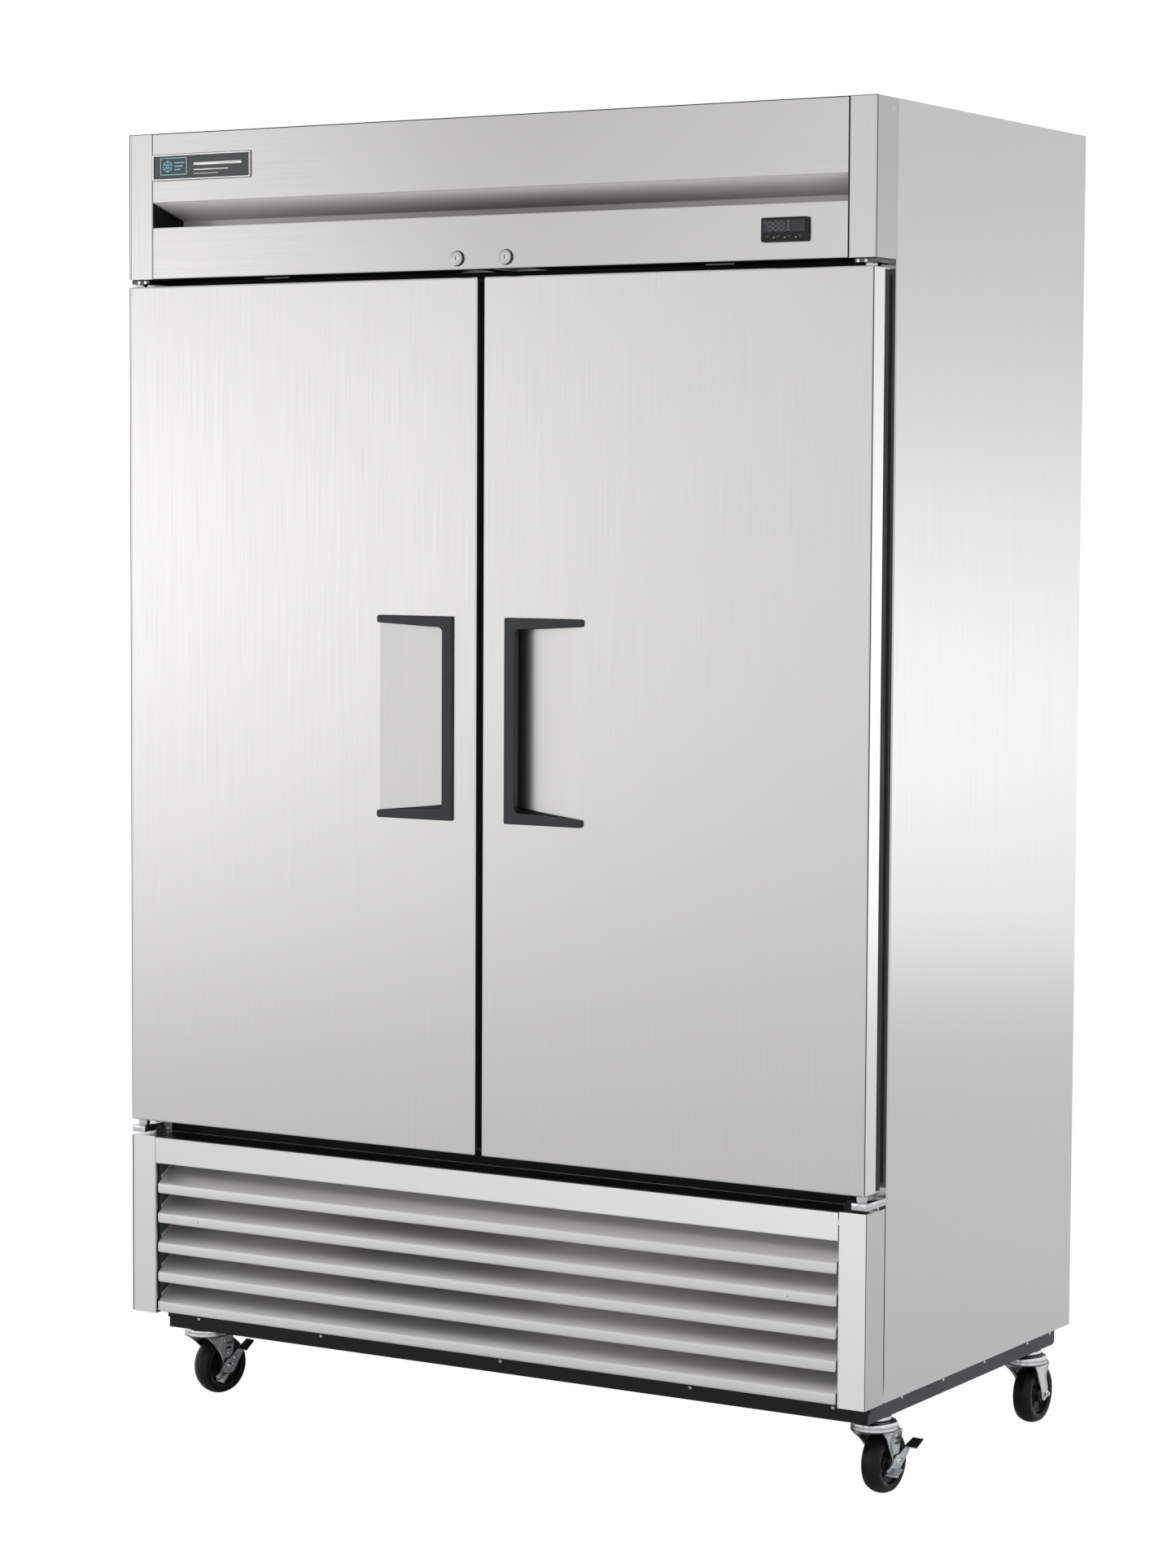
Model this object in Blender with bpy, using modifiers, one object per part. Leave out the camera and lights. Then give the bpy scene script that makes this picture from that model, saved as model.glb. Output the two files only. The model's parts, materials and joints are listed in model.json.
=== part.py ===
"""Reach in refrigerator: a two-door cabinet on castors with a louvered machine base.

Metres, +Z up. The origin is on the floor at the middle of the width. The front faces -Y, and
"left" and "right" are those of a person who stands in front of it.
"""

import math

import bmesh
import bpy
from mathutils import Matrix, Vector

# Driving dimensions
WIDTH = 1.375
HEIGHT = 2.118
FRONT_Y = -0.375  # header, base posts and grille rail
FACE_Y = -0.308  # cabinet face that the doors close on
REAR_Y = 0.3685
SHEET = 0.0012
GAP = 0.0003
BASE_Z = 0.165  # lower edge of the side panels
HALF = WIDTH / 2
SIDES = {"left": -1, "right": 1}

# Header
HEADER_Z = 1.882
SEAM_X = 0.640  # seam between the wide front panels and their narrow end strips
COVE_Y = -0.293
COVE_LEDGE_Z = 1.9655
COVE_BACK_Z = 1.9817
COVE_TOP_Z = 2.006
RETURN = 0.030

# Cabinet
FACE_BOTTOM_Z = 0.440
FOAM_BOTTOM_Z = 0.466
FACE_TOP_Z = 1.906
OPENING_X = 0.630
OPENING_Z = (0.505, 1.850)
MULLION_X = 0.036
LINER_TOP_Z = 2.060
LINER_REAR_Y = 0.310
LINER_HOOD_Y = -0.2503
SIDE_FLANGE = 0.024
MULLION_BODY_X = 0.030
MULLION_DEPTH = 0.045
FACE_THICK = 0.0015
SKIN_CLEARANCE = 0.0010  # room between the foam or liner and the sheet in front of it
REACH = 0.01  # how far a cutter runs past what it cuts

# Doors
DOOR_X = (0.006, 0.6855)
DOOR_Z = (0.489, 1.870)
DOOR_FRONT_Y = -0.378
DOOR_SKIN_Y = -0.343
DOOR_LINER_Y = -0.327
DOOR_DIKE_Y = -0.313
DIKE_INSET = 0.062
GASKET_INSET = 0.010
GASKET_WIDTH = 0.022
HINGE_X = 0.6726
HINGE_Y = -0.362
PIN_R = 0.00475
PIN_HOLE_R = 0.0054
PIN_LENGTH = 0.016
BUSHING_R = 0.0093
LOW_BRACKET_X = 0.6617
LOW_BRACKET_Z = (0.468, 0.479)
LOW_FOOT = (0.665, 0.684, -0.333, -0.326)
HIGH_BRACKET_X = 0.650
HIGH_BRACKET_Z = 1.8745

# Handle and the scoop behind it
HANDLE_X = (0.0488, 0.1904)
HANDLE_Z = (1.0185, 1.341)
HANDLE_FRONT_Y = -0.383
GRIP = 0.018
ARM_TIP = 0.012
SCOOP_X = (0.054, 0.105, 0.187)
SCOOP_Y = -0.350
SCOOP_Z = (1.030, 1.3295)
SCOOP_SLOPE = math.atan2(SCOOP_Y - DOOR_FRONT_Y, SCOOP_X[2] - SCOOP_X[1])

# Locks and controller
LOCK_X = 0.045
LOCK_Z = 1.8996
LOCK_FACE_R = 0.0115
LOCK_SHAFT_R = 0.008
CAM_LENGTH = 0.033
CAM_Y = (-0.358, -0.355)
CAM_HALF = 0.0045
LOCK_BORE_R = 0.0088
BEZEL_X = (0.4975, 0.5755)
BEZEL_Z = (1.9086, 1.944)
BEZEL_Y = -0.380
BUTTON_X = (0.5085, 0.5270, 0.5455, 0.5640)
BUTTON_Z = 1.9180
BUTTON_R = 0.0042
BUTTON_PROUD = 0.0010
BUTTON_SUNK = 0.0018
POCKET_DEPTH = 0.0032

# Machine base
GRILLE_TOP_Z = 0.463
RAIL_DROP = 0.044
LOUVER_COUNT = 5
LOUVER_PITCH = 0.0498
LOUVER_TOP_Z = 0.3848
LOUVER_NOSE = 0.018
LOUVER_FRONT_Y = -0.3735
LOUVER_BACK_Y = -0.313
LOUVER_RISE = math.radians(35)
FRAME_X = 0.6605
FRAME_Y = (-0.310, 0.370)
FRAME_Z = (0.1285, 0.168)
FRAME_WALL = 0.003
FRAME_RAIL = 0.060
FRAME_CORNER = 0.008
DECK_THICK = 0.0025
FAN_R = 0.098
HUB_SHARE = 0.28
BLADE_CHORD = 0.48
BLADE_PITCH = math.radians(28)
CONDENSER_X = (-0.36, -0.04)
CONDENSER_Z = (0.186, 0.406)
CONDENSER_Y = (-0.275, -0.220, -0.160)
MOTOR_STRAP = 0.024
MOTOR_LENGTH = 0.065
MOTOR_R = 0.036
COMPRESSOR = (0.30, 0.08)
VENT_X = (0.06, 0.60)
VENT_Z = (0.205, 0.425)
GLAND = (0.642, 0.315)
GLAND_R = 0.014
GLAND_PROUD = 0.010

# Castors: stem position, trail direction in degrees from straight back
STEM_X = 0.636
CASTORS = {
    "front_left": (-STEM_X, -0.240, -12.0),
    "front_right": (STEM_X, -0.240, -2.0),
    "rear_left": (-STEM_X, 0.309, 7.0),
    "rear_right": (STEM_X, 0.309, 0.0),
}
TRAIL = 0.031
WHEEL_R = 0.050
WHEEL_HALF = 0.016
AXLE_R = 0.005
STEM_R = 0.006
STEM_TOP_Z = 0.150
WHEEL_STEPS = 24
LEG_X = (0.019, 0.022)
ROCKER_X = (0.0235, 0.0260)

# Inside
SHELF_Z = (0.800, 1.130, 1.460)
SHELF_X = (0.004, 0.624)
SHELF_Y = (-0.252, 0.302)
SHELF_ROD = 0.006
SHELF_BAYS = 11
EVAPORATOR_X = 0.40
EVAPORATOR_Y = (-0.10, 0.29)
EVAPORATOR_Z = (1.885, 2.055)
EVAPORATOR_FAN_R = 0.070
EVAPORATOR_WALL = 0.002

STEEL = ("stainless", (0.72, 0.71, 0.70), 0.35, 1.0)
SIDE_STEEL = ("side_stainless", (0.62, 0.63, 0.64), 0.4, 1.0)
ALUMINIUM = ("aluminium", (0.80, 0.81, 0.82), 0.35, 1.0)
FOAM = ("foam", (0.85, 0.78, 0.55), 0.9, 0.0)
BLACK_PAINT = ("black_paint", (0.03, 0.035, 0.04), 0.5, 0.0)
CHARCOAL = ("charcoal_plastic", (0.045, 0.047, 0.05), 0.5, 0.0)
GREY_PLASTIC = ("grey_plastic", (0.35, 0.36, 0.37), 0.5, 0.0)
GASKET = ("gasket", (0.10, 0.10, 0.10), 0.6, 0.0)
GLOSS_BLACK = ("gloss_black", (0.02, 0.02, 0.02), 0.15, 0.0)
ZINC = ("zinc", (0.66, 0.68, 0.70), 0.25, 1.0)
RUBBER = ("rubber", (0.02, 0.02, 0.02), 0.7, 0.0)
COIL_FINS = ("coil_fins", (0.55, 0.55, 0.55), 0.5, 1.0)
SHELF_COAT = ("shelf_coating", (0.75, 0.76, 0.76), 0.5, 0.0)

ROTATIONS = {
    "X": Matrix(((0, 0, 1), (1, 0, 0), (0, 1, 0))).to_4x4(),
    "Y": Matrix(((1, 0, 0), (0, 0, -1), (0, 1, 0))).to_4x4(),
    "Z": Matrix.Identity(4),
}


def new_collection(name, hidden=False):
    collection = bpy.data.collections.new(name)
    bpy.context.scene.collection.children.link(collection)
    collection.hide_render = hidden
    return collection


for old in list(bpy.data.objects):
    bpy.data.objects.remove(old, do_unlink=True)
PARTS = new_collection("reach_in_refrigerator")
CUTTERS = new_collection("cutters", hidden=True)


def material_of(look):
    name, colour, roughness, metallic = look
    material = bpy.data.materials.get(name)
    if material is None:
        material = bpy.data.materials.new(name)
        material.use_nodes = True
        shader = material.node_tree.nodes["Principled BSDF"]
        shader.inputs["Base Color"].default_value = (*colour, 1)
        shader.inputs["Roughness"].default_value = roughness
        shader.inputs["Metallic"].default_value = metallic
    return material


def add(name, mesh, look=None):
    """A mesh as a part, or as a helper when it has no look."""
    obj = bpy.data.objects.new(name, mesh)
    if look is None:
        CUTTERS.objects.link(obj)
        obj.hide_render = True
        obj.display_type = "WIRE"
    else:
        mesh.materials.clear()
        mesh.materials.append(material_of(look))
        PARTS.objects.link(obj)
    return obj


def from_bmesh(name, bm, look):
    mesh = bpy.data.meshes.new(name)
    bm.to_mesh(mesh)
    bm.free()
    return add(name, mesh, look)


def box(name, low, high, look=None):
    """A box between two corners, given in any order."""
    low, high = (Vector(map(pick, low, high)) for pick in (min, max))
    bm = bmesh.new()
    bmesh.ops.create_cube(bm, size=1)
    bmesh.ops.scale(bm, vec=high - low, verts=bm.verts)
    bmesh.ops.translate(bm, vec=(low + high) / 2, verts=bm.verts)
    return from_bmesh(name, bm, look)


def rod(name, axis, centre, start, end, radius, look=None, segments=16):
    """A round bar along an axis; centre holds the other two coordinates, in X, Y, Z order."""
    bm = bmesh.new()
    bmesh.ops.create_cone(
        bm,
        cap_ends=True,
        segments=segments,
        radius1=radius,
        radius2=radius,
        depth=end - start,
    )
    place = list(centre)
    place.insert("XYZ".index(axis), (start + end) / 2)
    turn = {
        "X": Matrix.Rotation(math.pi / 2, 4, "Y"),
        "Y": Matrix.Rotation(-math.pi / 2, 4, "X"),
        "Z": Matrix.Identity(4),
    }[axis]
    bmesh.ops.transform(bm, matrix=Matrix.Translation(place) @ turn, verts=bm.verts)
    return from_bmesh(name, bm, look)


def prism(name, axis, outlines, start, end, look=None):
    """Flat outlines, the first the outside and the rest its holes, carried along an axis."""
    curve = bpy.data.curves.new(name, "CURVE")
    curve.dimensions = "2D"
    curve.fill_mode = "BOTH"
    curve.extrude = abs(end - start) / 2
    for outline in outlines:
        spline = curve.splines.new("POLY")
        spline.points.add(len(outline) - 1)
        for point, (u, v) in zip(spline.points, outline):
            point.co = (u, v, 0, 1)
        spline.use_cyclic_u = True
    drawn = bpy.data.objects.new(name + "_outline", curve)
    CUTTERS.objects.link(drawn)
    mesh = baked(drawn)
    along = (start + end) / 2 * (-1 if axis == "Y" else 1)
    mesh.transform(ROTATIONS[axis] @ Matrix.Translation((0, 0, along)))
    bpy.data.objects.remove(drawn)
    return add(name, mesh, look)


def baked(obj):
    """The object's evaluated mesh, with loose caps welded and its faces turned outwards."""
    graph = bpy.context.evaluated_depsgraph_get()
    mesh = bpy.data.meshes.new_from_object(obj.evaluated_get(graph))
    bm = bmesh.new()
    bm.from_mesh(mesh)
    bmesh.ops.remove_doubles(bm, verts=bm.verts, dist=1e-6)
    bmesh.ops.recalc_face_normals(bm, faces=bm.faces)
    bm.to_mesh(mesh)
    bm.free()
    return mesh


def turned(name, profile, steps, look=None):
    """A profile of (radius, height) points, down its outer side, turned about Z."""
    bm = bmesh.new()
    points = [bm.verts.new((radius, 0, height)) for radius, height in profile]
    for a, b in zip(points, points[1:]):
        bm.edges.new((a, b))
    obj = from_bmesh(name, bm, look)
    screw = obj.modifiers.new("turn", "SCREW")
    screw.steps = screw.render_steps = steps
    screw.use_merge_vertices = True
    screw.merge_threshold = 0.00005
    return obj


def rounded(path, radius, steps):
    """The path with an arc at each inner corner."""
    points = [Vector(path[0])]
    for before, corner, after in zip(path, path[1:], path[2:]):
        corner = Vector(corner)
        back, ahead = ((Vector(p) - corner).normalized() for p in (before, after))
        half = back.angle(ahead) / 2
        reach = radius / math.tan(half)
        centre = corner + (back + ahead).normalized() * radius / math.sin(half)
        first, last = ((corner + way * reach - centre).normalized() for way in (back, ahead))
        for i in range(steps + 1):
            points.append(centre + first.slerp(last, i / steps) * radius)
    return points + [Vector(path[-1])]


def bent_sheet(name, axis, path, start, end, look, side=1, radius=0.002, thick=SHEET):
    """Sheet metal bent along a path of outer-face points and carried along an axis."""
    bm = bmesh.new()
    ring = [bm.verts.new((u, v, start)) for u, v in rounded(path, radius, 2)]
    edges = [bm.edges.new(pair) for pair in zip(ring, ring[1:])]
    top = bmesh.ops.extrude_edge_only(bm, edges=edges)["geom"]
    moved = [v for v in top if isinstance(v, bmesh.types.BMVert)]
    bmesh.ops.translate(bm, vec=(0, 0, end - start), verts=moved)
    bmesh.ops.transform(bm, matrix=ROTATIONS[axis], verts=bm.verts)
    obj = from_bmesh(name, bm, look)
    solidify = obj.modifiers.new("sheet", "SOLIDIFY")
    solidify.thickness = thick
    solidify.offset = side
    solidify.use_even_offset = True
    return obj


def change(obj, operation, tools):
    for tool in tools:
        boolean = obj.modifiers.new(operation.lower(), "BOOLEAN")
        boolean.operation = operation
        boolean.object = tool
    return obj


def cut(obj, *tools):
    return change(obj, "DIFFERENCE", tools)


def join(obj, *tools):
    return change(obj, "UNION", tools)


def soften(obj, width, segments=2):
    bevel = obj.modifiers.new("soft_edges", "BEVEL")
    bevel.width = width
    bevel.segments = segments
    bevel.limit_method = "ANGLE"
    return obj


def pivot_at(obj, point):
    """Moves the object's origin to a point and leaves its shape where it is."""
    obj.data.transform(Matrix.Translation(-Vector(point)))
    obj.location = point
    return obj


def sided(side, low, high):
    return side * low, side * high


def build_cabinet():
    for name, side in SIDES.items():
        path = [
            (side * (HALF - SIDE_FLANGE), FACE_Y),
            (side * HALF, FACE_Y),
            (side * HALF, REAR_Y),
        ]
        panel = bent_sheet(f"{name}_side_panel", "Z", path, BASE_Z, HEIGHT, SIDE_STEEL, side)
        low = (side * (HALF - 0.03), FACE_Y - REACH, HEIGHT - SHEET - GAP)
        high = (side * (HALF - SHEET), FACE_Y + 0.002, HEIGHT + REACH)
        cut(panel, box(f"top_notch_{name}", low, high))

    inner = HALF - SHEET - GAP
    top_low = (-inner, FRONT_Y + RETURN + 0.002, HEIGHT - SHEET)
    top = box("top_panel", top_low, (inner, REAR_Y, HEIGHT), STEEL)
    for side in SIDES.values():
        low = (side * (HALF - 0.001 - SHEET - GAP), FRONT_Y, HEIGHT - REACH)
        cut(top, box(f"top_corner_{side}", low, (side * HALF, FACE_Y, HEIGHT + REACH)))

    rear_low = (-inner, REAR_Y - SHEET - 0.0004, FRAME_Z[1] + DECK_THICK)
    rear = box("rear_panel", rear_low, (inner, REAR_Y, HEIGHT - SHEET - GAP), SIDE_STEEL)
    for name, side in SIDES.items():
        inner_x, outer_x = sided(side, *VENT_X)
        low = (inner_x, REAR_Y - REACH, VENT_Z[0])
        cut(rear, box(f"{name}_vent_cutter", low, (outer_x, REAR_Y + REACH, VENT_Z[1])))
    join(rear, rod("power_gland", "Y", GLAND, REAR_Y - 0.001, REAR_Y + GLAND_PROUD, GLAND_R))
    cut(rear, rod("power_gland_bore", "Y", GLAND, REAR_Y - REACH, REAR_Y + 2 * REACH, GLAND_R / 2))

    foam_front = FACE_Y + FACE_THICK + GAP
    foam_back = REAR_Y - SHEET - SKIN_CLEARANCE
    hood_front = COVE_Y + SHEET + 0.0028
    foam_top = HEIGHT - SHEET - GAP
    side_view = [
        (foam_front, FOAM_BOTTOM_Z),
        (foam_back, FOAM_BOTTOM_Z),
        (foam_back, foam_top),
        (hood_front, foam_top),
        (hood_front, FACE_TOP_Z),
        (foam_front, FACE_TOP_Z),
    ]
    foam = prism("cabinet_foam", "X", [side_view], -inner, inner, FOAM)
    liner = prism("cabinet_liner", "X", [liner_outline(0)], *wide(SHEET), ALUMINIUM)
    cut(liner, prism("liner_cutter", "X", [liner_outline(-SHEET)], *wide(0)))
    cut(foam, prism("foam_cutter", "X", [liner_outline(GAP)], *wide(SHEET + GAP)))

    frame_x = HALF - SIDE_FLANGE - GAP
    low = (-frame_x, FACE_Y, FACE_BOTTOM_Z)
    face = box("face_frame", low, (frame_x, FACE_Y + FACE_THICK, FACE_TOP_Z), STEEL)
    bottom, top = OPENING_Z[0] + GAP, OPENING_Z[1] - GAP
    for name, side in SIDES.items():
        window = sided(side, MULLION_X, OPENING_X - GAP)
        low = (window[0], FACE_Y - REACH, bottom)
        cut(face, box(f"{name}_window_cutter", low, (window[1], FACE_Y + REACH, top)))
    post_x, wall = MULLION_BODY_X, FACE_THICK
    low = (-post_x, FACE_Y + wall / 2, bottom)
    join(face, box("mullion", low, (post_x, FACE_Y + MULLION_DEPTH, top)))
    low = (wall - post_x, FACE_Y + wall, bottom + wall)
    high = (post_x - wall, FACE_Y + MULLION_DEPTH + REACH, top - wall)
    cut(face, box("mullion_hollow", low, high))


def wide(offset):
    return -OPENING_X - offset, OPENING_X + offset


def liner_outline(offset):
    """The liner's side view. Offset 0 is its outside, and minus one sheet is its inside."""
    out = SHEET + offset
    mouth = FACE_Y + FACE_THICK + GAP - (3 * REACH if offset else 0)
    return [
        (mouth, OPENING_Z[0] - out),
        (LINER_REAR_Y + out, OPENING_Z[0] - out),
        (LINER_REAR_Y + out, LINER_TOP_Z + out),
        (LINER_HOOD_Y - out, LINER_TOP_Z + out),
        (LINER_HOOD_Y - out, OPENING_Z[1] + out),
        (mouth, OPENING_Z[1] + out),
    ]


def build_header():
    path = [
        (FRONT_Y + 0.013, HEADER_Z),
        (FRONT_Y, HEADER_Z),
        (FRONT_Y, COVE_LEDGE_Z),
        (COVE_Y, COVE_LEDGE_Z),
        (COVE_Y, COVE_BACK_Z),
        (FRONT_Y, COVE_TOP_Z),
        (FRONT_Y, HEIGHT),
        (FRONT_Y + RETURN, HEIGHT),
    ]
    edge = SEAM_X - GAP
    header = bent_sheet("header_panel", "X", path, -edge, edge, STEEL, -1, 0.0015)
    for side in SIDES.values():
        at = (side * LOCK_X, LOCK_Z)
        cut(header, rod(f"lock_bore_{side}", "Y", at, FRONT_Y - REACH, FRONT_Y + REACH, LOCK_BORE_R))
    low, high = bezel_body(0.0005)
    cut(header, box("bezel_cutter", (low[0], FRONT_Y - REACH, low[2]), high))

    for name, side in SIDES.items():
        path = [
            (side * (SEAM_X + GAP), COVE_Y),
            (side * (SEAM_X + GAP), FRONT_Y),
            (side * (HALF - 0.001), FRONT_Y),
            (side * (HALF - 0.001), FACE_Y - GAP),
        ]
        end = bent_sheet(f"header_end_{name}", "Z", path, HEADER_Z, HEIGHT, STEEL, side, 0.0025)
        cap = (side * (SEAM_X + 0.001), FRONT_Y + 0.001, HEIGHT - SHEET)
        join(end, box(f"cap_{name}", cap, (side * (HALF - 0.0015), FRONT_Y + RETURN, HEIGHT)))
        near, far = side * (SEAM_X - 0.001), side * (SEAM_X + 0.004)
        low = (near, FACE_Y - GAP, HEADER_Z - REACH)
        cut(end, box(f"low_notch_{name}", low, (far, 0, FACE_TOP_Z + GAP)))
        low = (near, FRONT_Y + RETURN + 0.001, HEIGHT - SHEET - GAP)
        cut(end, box(f"high_notch_{name}", low, (far, 0, HEIGHT + REACH)))


def bezel_body(clearance):
    """Corners of the controller's body behind its bezel."""
    inset = 0.007 - clearance
    return (
        (BEZEL_X[0] + inset, FRONT_Y - GAP - 0.001, BEZEL_Z[0] + 0.005 - clearance),
        (BEZEL_X[1] - inset, FRONT_Y + 0.025, BEZEL_Z[1] - 0.005 + clearance),
    )


def half_moon(radius, steps=6):
    """A half circle under a flat top, as (x, z) points about the middle of the flat."""
    turn = [math.pi + math.pi * i / steps for i in range(steps + 1)]
    return [(radius * math.cos(a), radius * math.sin(a)) for a in turn]


def build_controls():
    low = (BEZEL_X[0], BEZEL_Y, BEZEL_Z[0])
    bezel = box("controller_bezel", low, (BEZEL_X[1], FRONT_Y - GAP, BEZEL_Z[1]), GLOSS_BLACK)
    soften(bezel, 0.0012, 2)
    join(bezel, box("bezel_body", *bezel_body(0)))
    for number, x in enumerate(BUTTON_X, 1):
        pocket = [(x + u, BUTTON_Z + v + GAP) for u, v in half_moon(BUTTON_R + 2 * GAP)]
        cut(bezel, prism(f"pocket_{number}", "Y", [pocket], BEZEL_Y - REACH, BEZEL_Y + POCKET_DEPTH))
        shape = [(x + u, BUTTON_Z + v) for u, v in half_moon(BUTTON_R)]
        front, back = BEZEL_Y - BUTTON_PROUD, BEZEL_Y + BUTTON_SUNK
        button = prism(f"button_{number}", "Y", [shape], front, back, CHARCOAL)
        pivot_at(button, (x, BEZEL_Y, BUTTON_Z))

    for name, side in SIDES.items():
        at = (side * LOCK_X, LOCK_Z)
        lock = rod(f"lock_{name}", "Y", at, FRONT_Y - 0.004, FRONT_Y - GAP, LOCK_FACE_R, ZINC, 24)
        shaft = rod(f"lock_shaft_{name}", "Y", at, FRONT_Y - 0.001, CAM_Y[1], LOCK_SHAFT_R)
        low = (side * (LOCK_X - CAM_HALF), CAM_Y[0], LOCK_Z - CAM_HALF)
        high = (side * (LOCK_X + CAM_LENGTH), CAM_Y[1], LOCK_Z + CAM_HALF)
        cam = box(f"cam_{name}", low, high)
        join(lock, shaft, cam)
        pivot_at(lock, (side * LOCK_X, FRONT_Y, LOCK_Z))


def build_hinges():
    for name, side in SIDES.items():
        at = (side * HINGE_X, HINGE_Y)
        under, over = LOW_BRACKET_Z
        low = (side * LOW_BRACKET_X, FRONT_Y, under)
        bottom = box(f"bottom_hinge_{name}", low, (side * HALF, FACE_Y - GAP, over), ZINC)
        near, far, front, back = LOW_FOOT
        low = (side * near, front, GRILLE_TOP_Z + GAP)
        foot = box(f"hinge_foot_{name}", low, (side * far, back, under + 0.002))
        bushing = rod(f"bushing_low_{name}", "Z", at, over - 0.001, DOOR_Z[0] - GAP, BUSHING_R)
        pin = rod(f"pin_low_{name}", "Z", at, over + 0.001, DOOR_Z[0] + PIN_LENGTH, PIN_R)
        join(bottom, foot, bushing, pin)

        low = (side * HIGH_BRACKET_X, FRONT_Y + 0.003, HIGH_BRACKET_Z)
        high = (side * (HALF - 0.002), FACE_Y - GAP, HEADER_Z - GAP)
        top = box(f"top_hinge_{name}", low, high, ZINC)
        under = HIGH_BRACKET_Z
        bushing = rod(f"bushing_high_{name}", "Z", at, DOOR_Z[1] + GAP, under + 0.0015, BUSHING_R)
        pin = rod(f"pin_high_{name}", "Z", at, DOOR_Z[1] - PIN_LENGTH, under + 0.0005, PIN_R)
        join(top, bushing, pin)


def scoop_outline(offset, front):
    """Plan of the hand recess, grown by offset and carried forward to y = front."""
    start, bend, end = SCOOP_X
    back = SCOOP_Y + offset
    reach = end + (DOOR_FRONT_Y - front) / math.tan(SCOOP_SLOPE) + offset / math.sin(SCOOP_SLOPE)
    return [
        (start - offset, front),
        (start - offset, back),
        (bend + offset * math.tan(SCOOP_SLOPE / 2), back),
        (reach, front),
    ]


def mirrored(outline, side):
    return [(side * x, y) for x, y in outline]


def pin_holes(name, side, depth):
    at = (side * HINGE_X, HINGE_Y)
    low = rod(f"{name}_low_pin_hole", "Z", at, DOOR_Z[0] - REACH, DOOR_Z[0] + depth, PIN_HOLE_R)
    high = rod(f"{name}_high_pin_hole", "Z", at, DOOR_Z[1] - depth, DOOR_Z[1] + REACH, PIN_HOLE_R)
    return low, high


def lock_slot(name, side):
    return box(
        f"{name}_lock_slot",
        (side * (LOCK_X - 0.009), CAM_Y[0] - 0.002, LOCK_Z - CAM_LENGTH - 0.005),
        (side * (LOCK_X + 0.025), CAM_Y[1] + 0.002, DOOR_Z[1] + REACH),
    )


def build_door(name, side):
    x0, x1 = sided(side, *DOOR_X)
    z0, z1 = DOOR_Z
    inner = side * SHEET

    skin = box(f"door_skin_{name}", (x0, DOOR_FRONT_Y, z0), (x1, DOOR_SKIN_Y + 0.01, z1), STEEL)
    soften(skin, 0.003, 3)
    behind = box(f"skin_back_{name}", (x0 - inner, DOOR_SKIN_Y, z0 - 1), (x1 + inner, 0, z1 + 1))
    hollow = box(
        f"skin_hollow_{name}",
        (x0 + inner, DOOR_FRONT_Y + SHEET, z0 + SHEET),
        (x1 - inner, 0, z1 - SHEET),
    )
    cut(skin, behind, hollow)
    low, high = SCOOP_Z
    for offset, tool in ((SHEET, join), (0, cut)):
        front = DOOR_FRONT_Y + (SHEET / 2 if offset else -0.01)
        plan = mirrored(scoop_outline(offset, front), side)
        tool(skin, prism(f"scoop_{tool.__name__}_{name}", "Z", [plan], low - offset, high + offset))
    cut(skin, *pin_holes(f"skin_{name}", side, PIN_LENGTH + 0.002), lock_slot(f"skin_{name}", side))

    filling = SHEET + GAP
    liner = box(
        f"door_liner_{name}",
        (x0 + side * filling, DOOR_FRONT_Y + filling, z0 + filling),
        (x1 - side * filling, DOOR_LINER_Y - 0.001, z1 - filling),
        GREY_PLASTIC,
    )
    rim = box(
        f"liner_rim_{name}",
        (x0 + side * 0.0008, DOOR_SKIN_Y + GAP, z0 + 0.0008),
        (x1 - side * 0.0008, DOOR_LINER_Y, z1 - 0.0008),
    )
    dike = DIKE_INSET
    pan = 0.026
    ridge = box(
        f"liner_dike_{name}",
        (x0 + side * dike, DOOR_LINER_Y - 0.002, z0 + dike),
        (x1 - side * dike, DOOR_DIKE_Y, z1 - dike),
    )
    dish = box(
        f"liner_dish_{name}",
        (x0 + side * (dike + pan), DOOR_LINER_Y + 0.001, z0 + dike + pan),
        (x1 - side * (dike + pan), DOOR_DIKE_Y + 0.01, z1 - dike - pan),
    )
    join(liner, rim, ridge)
    clearance = SHEET + 2 * GAP
    plan = mirrored(scoop_outline(clearance, DOOR_FRONT_Y - 0.002), side)
    room = prism(f"scoop_room_{name}", "Z", [plan], low - clearance, high + clearance)
    cut(liner, dish, room, *pin_holes(f"liner_{name}", side, PIN_LENGTH + 0.002))
    cut(liner, lock_slot(f"liner_{name}", side))

    outer = GASKET_INSET
    inner = GASKET_INSET + GASKET_WIDTH
    rings = [
        [
            (x0 + side * inset, z0 + inset),
            (x1 - side * inset, z0 + inset),
            (x1 - side * inset, z1 - inset),
            (x0 + side * inset, z1 - inset),
        ]
        for inset in (outer, inner)
    ]
    seal = prism(f"door_gasket_{name}", "Y", rings, DOOR_LINER_Y + GAP, FACE_Y - 0.0004, GASKET)

    handle = build_handle(name, side)
    axis = (side * HINGE_X, HINGE_Y, z0)
    for piece in (skin, liner, seal, handle):
        pivot_at(piece, axis)


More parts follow.
